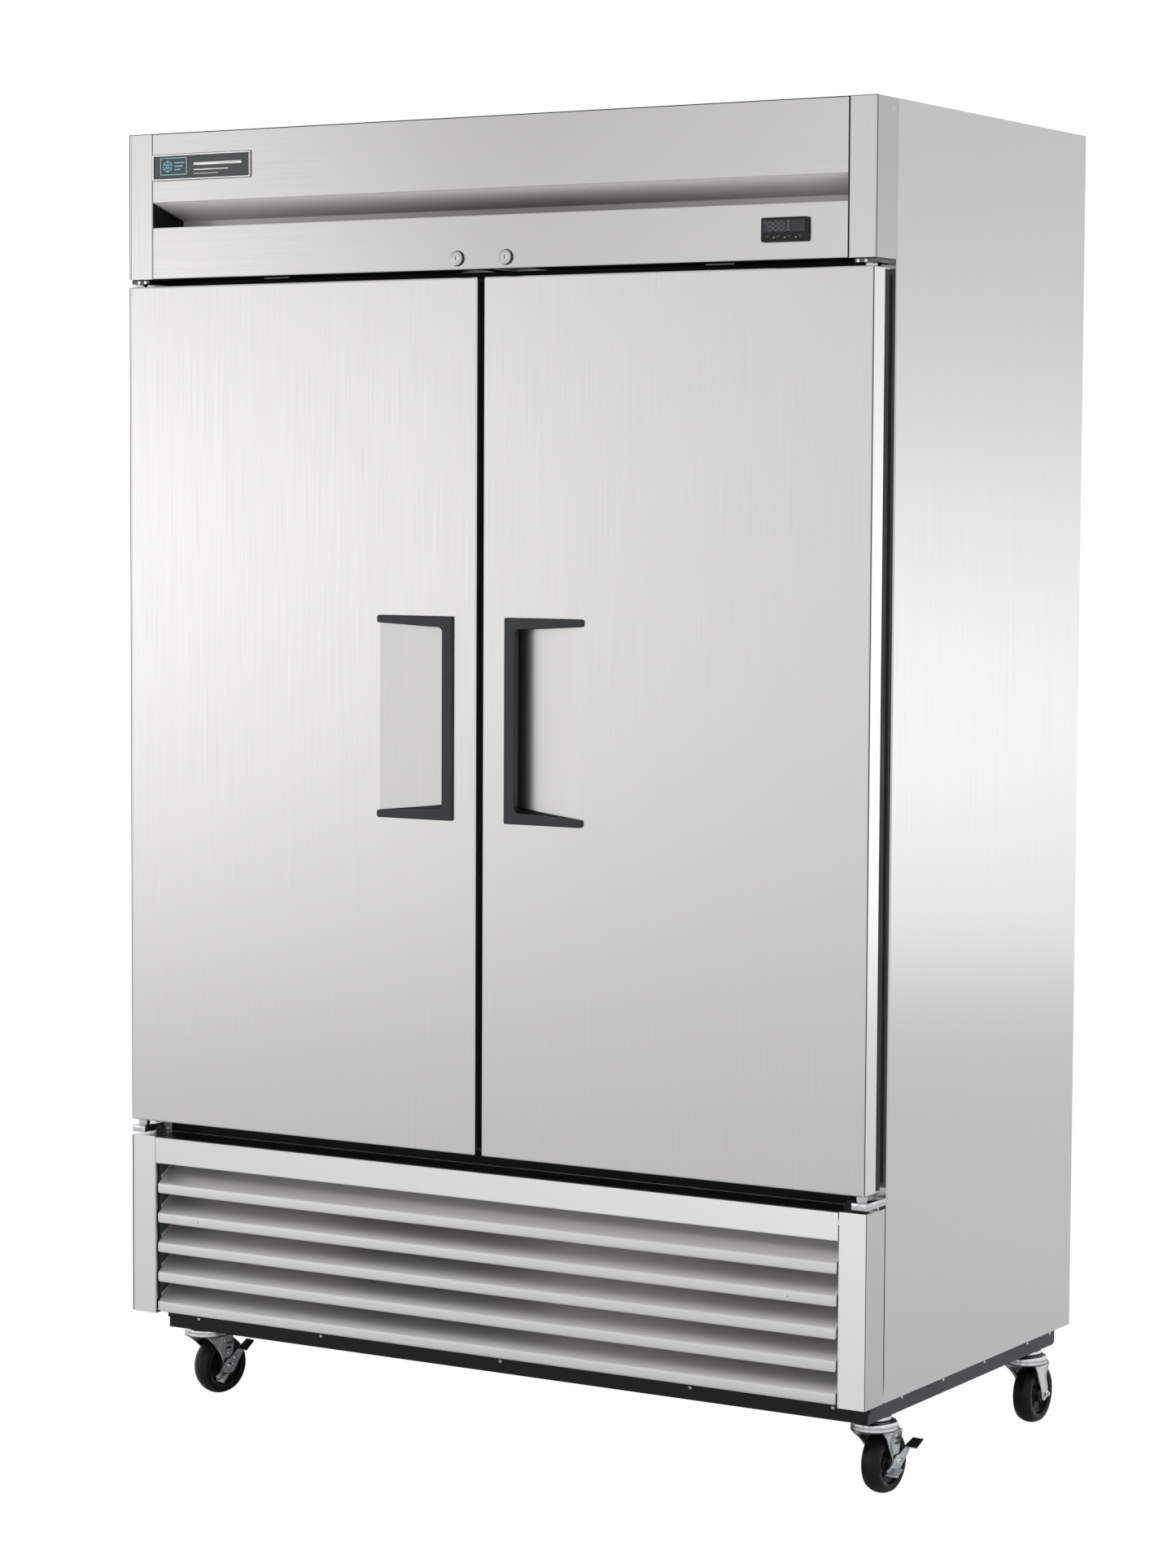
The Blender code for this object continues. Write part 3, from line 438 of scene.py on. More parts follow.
def lit(name, colour, strength):
    """A small lamp or lit segment with a slightly uneven lens."""
    recipe = Recipe(name, colour, 0.3)
    uneven = recipe.noise(900.0)
    recipe.paint(recipe.tint(recipe.spread(uneven, 0, 0.4), scaled(colour, 0.8)))
    recipe.set("Emission Color", (*colour, 1))
    recipe.set("Emission Strength", strength)
    return recipe.material


def cove_light(recipe, base):
    """The panel is darker in the middle, and its cove fades from a light front edge to a dark back."""
    face, cove_front, cove_back = -0.3748, -0.3735, -0.2960
    apart = recipe.tree.nodes.new("ShaderNodeMath")
    apart.operation = "ABSOLUTE"
    recipe.link(recipe.spread(recipe.axis("X"), -1, 1, -0.57, 0.67), apart.inputs[0])
    off_middle = apart.outputs[0]
    base = recipe.tint(recipe.spread(off_middle, 0.9, 0, 0.1, 1.0), scaled(STEEL_COLOUR, 0.80), base)
    behind = recipe.spread(recipe.axis("Y"), 0, 1, face, cove_front)
    behind = recipe.times(behind, recipe.spread(recipe.axis("Z"), 1, 0, 2.0065, 2.0090))
    behind = recipe.times(behind, recipe.spread(recipe.axis("Z"), 0, 1, 1.9600, 1.9630))
    recipe.link(recipe.spread(behind, 1, 0.1, 0, 1), recipe.shader.inputs["Metallic"])
    ends, middle, front = (0.62, 0.60, 0.59), (0.34, 0.325, 0.31), (0.90, 0.89, 0.88)
    back = recipe.tint(recipe.spread(off_middle, 0, 1, 0.1, 1.0), ends, middle)
    depth = recipe.spread(recipe.axis("Y"), 0, 1, cove_front, cove_back)
    return recipe.tint(behind, recipe.tint(depth, back, front), base)


def base_light(recipe, base):
    """The plinth brightens to the right, and its returns are as the sides."""
    across = recipe.spread(recipe.axis("X"), 0, 1, -0.66, 0.66)
    base = recipe.tint(across, (0.90, 0.895, 0.89), base)
    return recipe.tint(recipe.sideways(), SIDE_COLOUR, base)


def end_shade(recipe, base):
    """The header's end returns are a little darker than its face."""
    return recipe.tint(recipe.sideways(), scaled(SIDE_COLOUR, 0.82), base)


def side_light(recipe, base):
    """The sides are a little paler towards the floor."""
    return recipe.tint(recipe.spread(recipe.axis("Z"), 1, 0, 0.35, 1.05), scaled(SIDE_COLOUR, 1.08), base)


def edge_light(recipe, base):
    """The doors' folded edges are lighter than their faces."""
    return recipe.tint(recipe.sideways(), (0.74, 0.74, 0.74), base)


STEEL_COLOUR = (0.600, 0.595, 0.588)
SIDE_COLOUR = (0.575, 0.573, 0.577)
DOOR_STEEL = brushed("brushed_stainless_vertical", STEEL_COLOUR, "Z", 0.22, 0.025, 0.03, edge_light)
TRIM_STEEL = brushed("brushed_stainless_horizontal", STEEL_COLOUR, "X", 0.24)
HEADER_STEEL = brushed("brushed_header", STEEL_COLOUR, "X", 0.22, 0.03, 0.02, cove_light)
END_STEEL = brushed("brushed_header_end", STEEL_COLOUR, "Z", 0.22, 0.03, 0.02, end_shade)
POST_STEEL = brushed("brushed_post", (0.74, 0.735, 0.73), "Z", 0.26, 0.008, 0.02, base_light)
RAIL_STEEL = brushed("brushed_rail", (0.73, 0.725, 0.72), "X", 0.26, 0.008, 0.02, base_light)
LOUVER_STEEL = brushed("brushed_louver", (0.71, 0.70, 0.70), "X", 0.34, 0.03, 0.02, None, 0.80)
SCOOP_STEEL = brushed("brushed_scoop", STEEL_COLOUR, "Z", 0.33, 0.02)
LOCK_STEEL = plated("lock_barrel", (0.20, 0.20, 0.20), 0.3)
DULL_ZINC = plated("dull_zinc", (0.13, 0.133, 0.137), 0.35)
DARK_STEEL = brushed("shaded_sheet", (0.055, 0.052, 0.052), "X", 0.35, 0.1)
# A dark sheet that paints the shade on the grille rail's top.
RAIL_TOP_SHADE = brushed("rail_top_sheet", (0.16, 0.155, 0.155), "X", 0.30, 0.1)
SIDE_STEEL = brushed("brushed_side_sheet", SIDE_COLOUR, "Z", 0.20, 0.02, 0.03, side_light)
GALVANISED = spangled("galvanised_sheet", (0.50, 0.515, 0.53))
LINER_METAL = brushed("liner_aluminium", (0.72, 0.73, 0.74), "Z", 0.36, 0.03)
# Near-black frame paint, with a lighter colour painted on its X-facing faces for the light they catch.
BLACK_FRAME = painted("black_frame_paint", (0.007, 0.0075, 0.008), side=(0.055, 0.066, 0.074))
COMPRESSOR_PAINT = painted("compressor_enamel", (0.014, 0.014, 0.015), 0.32)
HANDLE_PLASTIC = moulded("charcoal_handle_plastic", (0.036, 0.038, 0.041), 0.42)
WALL_PLASTIC = moulded("black_plastic", (0.006, 0.006, 0.006), 0.45, Specular_IOR_Level=0.15)
BEZEL_PLASTIC = moulded("black_bezel_plastic", (0.012, 0.012, 0.014), 0.28, 2200.0, 0.00003)
PANEL_PLASTIC = moulded("charcoal_panel_film", (0.040, 0.042, 0.046), 0.33, 3000.0, 0.00002)
LINER_PLASTIC = moulded("grey_liner_plastic", (0.40, 0.41, 0.42), 0.38, 500.0, 0.0001, 0.15)
BREAKER_PLASTIC = moulded("grey_breaker_strip", (0.30, 0.31, 0.32), 0.4, 700.0, 0.00008, 0.2)
GASKET_VINYL = moulded("gasket_vinyl", (0.012, 0.012, 0.013), 0.48, 900.0, 0.00006, 0.2)
FAN_PLASTIC = moulded("fan_plastic", (0.055, 0.057, 0.06), 0.42)
TYRE_RUBBER = moulded("tyre_rubber", (0.0045, 0.0048, 0.0048), 0.33, 1100.0, 0.00006, 0.3)
HUB_PLASTIC = moulded("wheel_hub", (0.006, 0.006, 0.0065), 0.25, 900.0, 0.00005, 0.2)
ZINC = plated("zinc_plate", (0.60, 0.62, 0.64))
FORK_ZINC = plated("bright_zinc_fork", (0.62, 0.645, 0.66), 0.16)
# Heights in metres and brightness of the crown's painted highlight and shade bands; the legs below are
# painted darker towards the floor.
CROWN_HIGHLIGHT_BANDS = [
    (0.000, 0.50), (0.040, 0.76), (0.080, 0.84), (0.100, 0.86), (0.1042, 0.40), (0.1058, 0.16),
    (0.1070, 0.62), (0.1088, 0.94), (0.1105, 0.80), (0.1130, 0.42), (0.1150, 0.85), (0.1185, 0.96),
    (0.1202, 0.55), (0.1208, 0.06), (0.1222, 0.10), (0.1232, 0.72), (0.1262, 0.95), (0.1290, 0.60),
]
CROWN_PAINTED_LIGHT = crown_with_painted_light("bright_crown", [(z, (v * 0.97, v, min(1.0, v * 1.01))) for z, v in CROWN_HIGHLIGHT_BANDS])
LEG_ZINC = plated("blue_zinc_plate", (0.66, 0.70, 0.72), 0.26)
CHROME = plated("bright_plate", (0.72, 0.72, 0.72), 0.12)
RING_ZINC = plated("lock_ring_plate", (0.52, 0.52, 0.52), 0.2)
PAD_BLACK = moulded("brake_pad_black", (0.02, 0.02, 0.02), 0.5, 700.0, 0.0002, 0.5)
SHELF_COAT = moulded("shelf_coating", (0.56, 0.58, 0.59), 0.35, 700.0, 0.00006, 0.2)
COPPER = plated("copper_tube", (0.70, 0.36, 0.22), 0.28)
FIN_METAL = brushed("fin_aluminium", (0.55, 0.56, 0.57), "Z", 0.38, 0.08)
FOAM = moulded("insulation_foam", (0.62, 0.50, 0.26), 0.85, 300.0, 0.0008, 0.6)
BADGE_GREY = moulded("badge_grey", (0.085, 0.092, 0.095), 0.4, 1500.0, 0.00004, 0.3)
PALE_BLUE = moulded("badge_pale_blue", (0.30, 0.60, 0.68), 0.4, 900.0, 0.00003, 0.1)
WHITE_INK = moulded("white_ink", (0.75, 0.75, 0.75), 0.5, 1500.0, 0.00002, 0.1)
RED_INK = moulded("red_ink", (0.45, 0.04, 0.04), 0.5, 1500.0, 0.00002, 0.1)
DIM_SEGMENT = moulded("dim_segment", (0.13, 0.135, 0.14), 0.3, 2000.0, 0.00002, 0.1)
LAMP = lit("interior_lamp_lens", (0.95, 0.97, 1.0), 2.2)
PALE_PLASTIC = moulded("pale_plastic", (0.62, 0.63, 0.62), 0.4, 800.0, 0.00005, 0.15)


def dress():
    """Gives each CAD node that stays visible its material."""
    table = {
        "door_skin": DOOR_STEEL,
        "header_panel": HEADER_STEEL,
        "header_end": END_STEEL,
        "left_side": SIDE_STEEL,
        "right_side": SIDE_STEEL,
        "top_panel": SIDE_STEEL,
        "rear_panel": GALVANISED,
        "cabinet_foam": FOAM,
        "cabinet_liner": LINER_METAL,
        "face_frame": TRIM_STEEL,
        "base_post": POST_STEEL,
        "grille_top_rail": RAIL_STEEL,
        "louver": LOUVER_STEEL,
        "base_frame": BLACK_FRAME,
        "compressor": COMPRESSOR_PAINT,
        "condenser_coil": FIN_METAL,
        "condenser_fan": FAN_PLASTIC,
        "evaporator_fan": FAN_PLASTIC,
        "evaporator_housing": LINER_METAL,
        "shelf": SHELF_COAT,
        "door_liner": LINER_PLASTIC,
        "door_gasket": GASKET_VINYL,
        "door_handle": HANDLE_PLASTIC,
        "controller_bezel": BEZEL_PLASTIC,
        "button": PANEL_PLASTIC,
        "lock": LOCK_STEEL,
        "bottom_hinge": ZINC,
        "top_hinge": DULL_ZINC,
        "castor_fork": ZINC,
        "castor_wheel": TYRE_RUBBER,
        "brake_pedal": LEG_ZINC,
    }
    for name, obj in NODES.items():
        for start, material in table.items():
            if name.startswith(start):
                obj.data.materials.clear()
                obj.data.materials.append(material)


dress()


# ---------------------------------------------------------------- castors


def castor_place(name):
    """The swivel's place and the turn that carries its own X onto the axle."""
    swivel, roll = JOINTS[f"castor_{name}_swivel"], JOINTS[f"castor_{name}_roll"]
    stem, axle, axis = (Vector(v) for v in (swivel["pos_m"], roll["pos_m"], roll["axis"]))
    heading = math.atan2(axis.y, axis.x)
    turn = Matrix.Rotation(heading, 4, "Z")
    return Matrix.Translation((stem.x, stem.y, 0)) @ turn, Matrix.Translation(axle) @ turn, axle


def splay(z):
    """How far the fork's sides stand out from their flat lower parts, at a height."""
    share = max(0.0, min(1.0, (z - 0.076) / 0.032))
    return 0.0075 * share * share * (3 - 2 * share)


def leaf(shape, rows, way, near, far):
    """A pressed plate from (height, front edge, back edge) rows, which follows the splay."""
    loops = []
    for z, front, back in rows:
        out = way * splay(z)
        corners = ((near + out, front), (near + out, back), (far + out, back), (far + out, front))
        loops.append([shape.vert((x, y, z)) for x, y in corners])
    shape.skin(loops)
    shape.bm.faces.new(loops[0][::-1])
    shape.bm.faces.new(loops[-1])


def fork(name, place, trail, axle_z):
    shape = Shape(place)
    rim = [(0, 0.1282), (0.0235, 0.1282)] + arc((0.0245, 0.1264), 0.0018, 90, 0, 3)
    rim += [(0.0263, 0.1228), (0.0246, 0.1213), (0.0255, 0.1206), (0.0300, 0.1203)]
    rim += arc((0.0316, 0.1158), 0.0045, 80, 0, 5)
    rim += [(0.0363, 0.1085), (0.0363, 0.1066), (0.0352, 0.1058), (0.0340, 0.1064), (0.0330, 0.1050)]
    rim.append((0, 0.1050))
    shape.lathe(rim, steps=40)
    shape.lathe([(0, 0.128), (0.0055, 0.128), (0.0055, 0.148), (0.0050, 0.150), (0, 0.150)], steps=16)
    # Dark zinc rings in the crown's two grooves: painted shade, at the heights of the dark painted bands.
    shade_rings = Shape(place)
    upper_shade_ring = [(0.0240, 0.1202), (0.0286, 0.1202), (0.0286, 0.1209), (0.0240, 0.1214)]
    lower_shade_ring = [(0.0358, 0.1056), (0.0366, 0.1060), (0.0366, 0.1076), (0.0358, 0.1076)]
    for seal in (upper_shade_ring, lower_shade_ring):
        shade_rings.lathe(seal, steps=40, closed=True)
    body = f"castor_fork_{name}"
    shade_rings.piece(f"castor_{name}_painted_shade_rings", body, DULL_ZINC, "zinc_plate")
    wheel_low, wheel_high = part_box(f"castor_wheel_{name}")
    half = (wheel_high.z - wheel_low.z) * 0.16
    for way in (-1, 1):
        near, far = way * (half + 0.003), way * (half + 0.0057)
        rows = [(0.1085, -0.0215, 0.0240), (0.1040, -0.0200, 0.0290), (0.0985, -0.0135, 0.0315)]
        rows += [(0.0920, -0.0050, 0.0322), (0.0850, 0.0020, 0.0330), (0.0770, 0.0090, 0.0350)]
        rows += [(0.0690, 0.0140, 0.0382), (0.0610, 0.0178, 0.0412)]
        for rise in (0.0040, 0.0, -0.0050, -0.0085, -0.0108, -0.0115):
            reach = math.sqrt(0.0116 ** 2 - rise ** 2)
            rows.append((axle_z + rise, trail - reach, trail + reach))
        leaf(shape, rows, way, near, far)
        for pick in (1, 2):
            edge = [(far + way * splay(row[0]), row[pick], row[0]) for row in rows[:9]]
            shape.tube(edge, 0.0011, 8)
        hub = (far, trail, axle_z)
        shape.lathe([(0, 0.0060), (0.0045, 0.0060), (0.0065, 0.0048), (0.0065, 0)], hub, X * way, 6)
        shape.lathe([(0, 0.0016), (0.0085, 0.0016), (0.0090, 0.0009), (0.0090, 0)], hub, X * way, 24)
        shape.lathe([(0, 0.0086), (0.0030, 0.0086), (0.0034, 0.0076), (0.0034, 0)], hub, X * way, 14)
    shape.tube([(-half - 0.004, trail, axle_z), (half + 0.004, trail, axle_z)], 0.0049, 16)
    shape.lathe([(0, 0.003), (0.0016, 0.003), (0.0028, 0.0015), (0.0028, 0)], (0, -0.0337, 0.1135), -Y, 12)
    shape.piece(f"castor_{name}_fork", body, CROWN_PAINTED_LIGHT, "zinc_plate", [body])


def wheel(name, place):
    tyre = Shape(place)
    radius, half = 0.0498, 0.0160
    crown = arc((0.0240, 0.0), 0.0258, -26, 26, 10)
    shoulder_low = arc((0.0425, -0.0118), 0.0040, -88, -35, 5)
    shoulder_high = [(r, -h) for r, h in reversed(shoulder_low)]
    rim = [(0.0368, -0.0142), (0.0372, -half + 0.0006), (0.0385, -half)]
    profile = [(0.0340, -0.0080)] + rim + shoulder_low
    tread = [(min(r, radius), h) for r, h in crown if abs(h) < 0.0095]
    for groove in (-0.0062, 0.0062):
        tread += [(0.0490, groove - 0.0004), (0.0486, groove), (0.0490, groove + 0.0004)]
    profile += sorted(tread, key=lambda point: point[1])
    profile += shoulder_high + [(r, -h) for r, h in reversed(rim)] + [(0.0340, 0.0080)]
    tyre.lathe(profile, (0, 0, 0), X, 64, closed=True)
    body = f"castor_wheel_{name}"
    tyre.piece(f"castor_{name}_tyre", body, TYRE_RUBBER, "tread_rubber", [body], 40)
    hub = Shape(place)
    side = [(0.0057, -half), (0.0120, -half)] + arc((0.0120, -half + 0.0015), 0.0015, -90, 0, 3)
    side += [(0.0140, -0.0100), (0.0160, -0.0072), (0.0300, -0.0066), (0.0337, -0.0082)]
    profile = side + [(r, -h) for r, h in reversed(side)]
    hub.lathe(profile, (0, 0, 0), X, 48, closed=True)
    for number in range(5):
        spin = Matrix.Rotation(math.tau * number / 5, 4, "X")
        for way in (-1, 1):
            low, high = (way * 0.0066, -0.0013, 0.0138), (way * 0.0095, 0.0013, 0.0330)
            centre = spin @ ((Vector(low) + Vector(high)) / 2)
            size = (Vector(high) - Vector(low)) / 2
            hub.box(centre - size, centre + size, 0.0006, spin.to_3x3())
    hub.piece(f"castor_{name}_hub", body, HUB_PLASTIC, "tread_rubber")
    ring = Shape(place)
    for way in (-1, 1):
        lip = [(0.0352, 0.0), (0.0352, 0.0006), (0.0366, 0.0006), (0.0366, 0.0)]
        ring.lathe(lip, (way * 0.0139, 0, 0), X * way, 48, closed=True)
        cap = [(0.0062, 0), (0.0062, 0.0012), (0.0100, 0.0012), (0.0104, 0)]
        ring.lathe(cap, (way * half, 0, 0), X * way, 24, True)
    ring.piece(f"castor_{name}_bearing_caps", body, DULL_ZINC, "zinc_plate")


def brake(name, place):
    """The rocker about the axle, with its heel, toe and toe pad."""
    body = f"brake_pedal_{name}"
    rocker = Shape(place)
    arm = [(-0.0325, -0.0128), (-0.0150, -0.0120)] + arc((0, 0), 0.0125, 235, 325, 6)
    arm += [(0.0300, 0.0110), (0.0450, 0.0255), (0.0420, 0.0300), (0.0280, 0.0255)]
    arm += arc((0, 0), 0.0125, 75, 150, 6) + [(-0.0200, -0.0015), (-0.0335, -0.0065)]
    rocker.prism(arm, 0.0236, 0.0258, ACROSS, 0.0005)
    lean = Matrix.Rotation(math.radians(27), 3, "X")
    heel, toe = Vector((0.0345, -0.0272, -0.0088)), Vector((0.0340, 0.0362, 0.0262))

    def slab(shape, centre, size, offset, soft):
        at, half = centre + lean @ Vector(offset), Vector(size) / 2
        shape.box(at - half, at + half, soft, lean)

    slab(rocker, heel, (0.0200, 0.0180, 0.0022), (0, 0, 0), 0.0008)
    slab(rocker, heel, (0.0200, 0.0020, 0.0050), (0, -0.0085, -0.0014), 0.0008)
    for number in range(4):
        slab(rocker, heel, (0.0160, 0.0014, 0.0010), (0.0004, -0.0055 + number * 0.0034, 0.0014), 0.0003)
    slab(rocker, toe, (0.0175, 0.0220, 0.0020), (-0.0004, 0, -0.0014), 0.0008)
    toe_rivet = [(0, 0.0014), (0.0052, 0.0014), (0.0060, 0.0006), (0.0060, 0)]
    heel_rivet = [(0, 0.0018), (0.0030, 0.0018), (0.0040, 0.0004), (0.0040, 0)]
    rocker.lathe(toe_rivet, (0.0258, 0.0165, 0.0085), X, 16)
    rocker.lathe(heel_rivet, (0.0258, -0.0170, -0.0065), X, 14)
    rocker.piece(f"brake_{name}_rocker", body, LEG_ZINC, "zinc_plate", [body])
    pad = Shape(place)
    slab(pad, toe, (0.0192, 0.0232, 0.0022), (0, 0, 0.0006), 0.0009)
    for number in range(5):
        slab(pad, toe, (0.0150, 0.0016, 0.0008), (0, -0.0082 + number * 0.0041, 0.0019), 0.0003)
    pad.piece(f"brake_{name}_toe_pad", body, PAD_BLACK, "tread_rubber")


def brake_bracket(name, place):
    """A plate on the side of the fork, with two rivets and two black bars that paint the shade in its slots.
    """
    plate = Shape(place)
    rows = [(0.1040, 0.0100, 0.0330), (0.0960, 0.0108, 0.0365), (0.0880, 0.0115, 0.0400)]
    rows += [(0.0820, 0.0120, 0.0402), (0.0760, 0.0148, 0.0402), (0.0700, 0.0172, 0.0375)]
    rows.append((0.0640, 0.0195, 0.0345))
    leaf(plate, rows, 1, 0.0220, 0.0236)
    for y, z in ((0.0300, 0.0720), (0.0180, 0.0960)):
        plate.lathe([(0, 0.0012), (0.0026, 0.0012), (0.0034, 0)], (0.0236 + splay(z), y, z), X, 14)
    plate.piece(f"brake_{name}_bracket", f"castor_fork_{name}", LEG_ZINC, "zinc_plate")
    # Painted shade: black bars where the slots are.
    slots = Shape(place)
    for z in (0.0815, 0.0905):
        face = 0.0236 + splay(z)
        slots.box((face - 0.0008, 0.0225, z - 0.0016), (face + 0.0004, 0.0345, z + 0.0016), 0.0003)
    slots.piece(f"brake_{name}_slots", f"castor_fork_{name}", WALL_PLASTIC, "gloss_black_plastic")


def build_castors():
    for name in CASTORS:
        stem, axle, centre = castor_place(name)
        trail = (stem.inverted() @ centre).y
        fork(name, stem, trail, centre.z)
        wheel(name, axle)
        if name.startswith("front"):
            brake(name, axle @ Matrix.Rotation(math.radians(BRAKE_LEAN[name]), 4, "X"))
            brake_bracket(name, stem)


# ---------------------------------------------------------------- base grille


def louver(number):
    name = f"louver_{number}"
    low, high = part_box(name)
    nose_top = high.z - (high.y - low.y) * LOUVER_SLOPE + 0.0008
    bottom = low.z + 0.0003
    front, back = low.y, high.y - 0.0008
    thick = 0.0011
    path = [(front + 0.0105, bottom), (front + 0.0035, bottom)]
    path += arc((front + 0.0035, bottom + 0.0035), 0.0035, 270, 180, 5)
    path += arc((front + 0.0032, nose_top - 0.0032), 0.0032, 180, 125, 4)
    path += [(back, nose_top + (back - front) * LOUVER_SLOPE - 0.0006)]
    inner = []
    for i, (y, z) in enumerate(path):
        before, after = path[max(i - 1, 0)], path[min(i + 1, len(path) - 1)]
        along = Vector((after[0] - before[0], after[1] - before[1])).normalized()
        inner.append((y + along.y * thick, z - along.x * thick))
    outline = path + inner[::-1]
    shape = Shape()
    x0, x1 = low.x, high.x
    stations = [(x0, 0.0035), (x0 + 0.0009, 0.0012), (x0 + 0.0035, 0.0)]
    stations += [(-x, pull) for x, pull in reversed(stations)]
    loops = []
    for x, pull in stations:
        ring = []
        for y, z in outline:
            share = max(0.0, 1 - (y - front) / 0.012)
            lift = max(0.0, 1 - (z - bottom) / 0.012) * pull * 0.8
            ring.append(shape.vert((x, y + pull * 0.35 * share, z + lift)))
        loops.append(ring)
    shape.skin(loops)
    shape.bm.faces.new(loops[0][::-1])
    shape.bm.faces.new(loops[-1])
    top = high.z - 0.0002
    rise = [(y, nose_top + (y - front) * LOUVER_SLOPE) for y in (front + 0.010, back)]
    flange = [(y, z - 0.0002) for y, z in rise] + [(y, z + 0.0052) for y, z in reversed(rise)]
    flange = [(y, min(z, top)) for y, z in flange]
    for end, way in ((x0, 1), (x1, -1)):
        start, stop = sorted((end + way * 0.0002, end + way * 0.0016))
        shape.prism(flange, start, stop, ACROSS)
    shape.piece(f"{name}_blade", "cabinet", LOUVER_STEEL, "stainless_front", [name], 28)


def build_grille():
    for number in range(1, 6):
        louver(number)
    screws = Shape()
    nose_low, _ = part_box("louver_2")
    for x in (nose_low.x + 0.083, -nose_low.x - 0.083):
        screws.screw((x, nose_low.y + 0.0002, nose_low.z + 0.009), -Y, 0.0022, 0.0010)
    rail_low, rail_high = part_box("grille_top_rail")
    for x in (-0.455, 0.455):
        screws.screw((x, rail_low.y + 0.030, rail_high.z), Z, 0.0035, 0.0014)
    for side in SIDES.values():
        screws.screw((side * 0.6622, -0.345, rail_high.z + 0.0008), Z, 0.0032, 0.0012)
    screws.piece("grille_screws", "cabinet", CHROME, "zinc_plate")
    slots = Shape()
    for x in (-0.475, 0.475):
        ring = round_rect(x - 0.010, x + 0.010, rail_low.y + 0.046, rail_low.y + 0.050, 0.0019, 3)
        slots.prism(ring, rail_high.z - 0.0005, rail_high.z + 0.0004)
    slots.piece("rail_slot_clips", "cabinet", CHROME, "zinc_plate")
    guard = Shape()
    post_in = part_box("base_post_right")[0].x
    for side in SIDES.values():
        guard.box((side * 0.6379, -0.3665, 0.1720), (side * 0.6396, -0.3180, 0.4150))
        low = (side * (post_in - 0.016), -0.318, 0.172)
        guard.box(low, (side * (post_in - 0.0045), -0.3085, 0.415), 0.0006)
    guard.piece("grille_side_channels", "cabinet", BLACK_FRAME, "black_frame")


# ---------------------------------------------------------------- header


def badge():
    """A name plate without a name: a frame, a plain panel, a snowflake sign and three bars."""
    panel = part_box("header_panel")[0]
    front = panel.y
    left, right, low, high = panel.x + 0.0004, panel.x + 0.1980, 2.0414, 2.0836
    ring = Shape()
    profile = [(0, front - 0.0002), (0, front - 0.0022), (0.0007, front - 0.0030)]
    profile += [(0.0022, front - 0.0030), (0.0029, front - 0.0022), (0.0029, front - 0.0002)]
    ring.frame_ring(profile, (left, right, low, high), 0.0014, 3)
    shadow = Shape()
    edge = [(-0.0007, front + 0.0001), (-0.0007, front - 0.0005)]
    edge += [(0.0004, front - 0.0005), (0.0004, front + 0.0001)]
    shadow.frame_ring(edge, (left, right, low, high), 0.0016, 3)
    shadow.piece("badge_edge", "cabinet", DARK_STEEL, "black_frame")
    x0 = left + 0.0840
    for z, length, tall in ((2.0640, 0.0960, 0.0050), (2.0560, 0.0700, 0.0022), (2.0500, 0.0500, 0.0014)):
        ring.box((x0, front - 0.0024, z), (x0 + length, front - 0.0010, z + tall), 0.0005)
    ring.piece("badge_frame", "cabinet", CHROME, "zinc_plate")
    plate = Shape()
    inset = 0.0025
    plate_high = (right - inset, front - 0.0001, high - inset)
    plate.box((left + inset, front - 0.0014, low + inset), plate_high, 0.0003)
    plate.piece("badge_panel", "cabinet", BADGE_GREY, "charcoal_plastic")
    sign = Shape()
    sx0, sx1, sz0, sz1 = left + 0.0165, left + 0.0700, 2.0498, 2.0782
    y = front - 0.0014
    profile = [(0, y), (0, y - 0.0007), (0.0014, y - 0.0007), (0.0014, y)]
    sign.frame_ring(profile, (sx0, sx1, sz0, sz1), 0.0010, 2)
    centre = Vector((sx0 + 0.0150, y - 0.0004, (sz0 + sz1) / 2))
    for number, length in enumerate((0.020, 0.017, 0.012)):
        z = sz1 - 0.0085 - number * 0.0055
        sign.box((sx0 + 0.0285, y - 0.0006, z - 0.0012), (sx0 + 0.0285 + length, y, z + 0.0006), 0.0)
    for number in range(3):
        spin = Matrix.Rotation(math.pi * number / 3, 3, "Y")
        size = Vector((0.0009, 0.0004, 0.0100))
        sign.box(centre - size, centre + size, 0.0, spin)
        for way in (-1, 1):
            for lean in (-1, 1):
                tip = centre + spin @ Vector((lean * 0.0016, 0, way * 0.0068))
                barb = Vector((0.0006, 0.0004, 0.0026))
                turn = spin @ Matrix.Rotation(lean * way * math.radians(48), 3, "Y")
                sign.box(tip - barb, tip + barb, 0.0, turn)
    sign.piece("badge_snowflake", "cabinet", PALE_BLUE, "gloss_black_plastic")


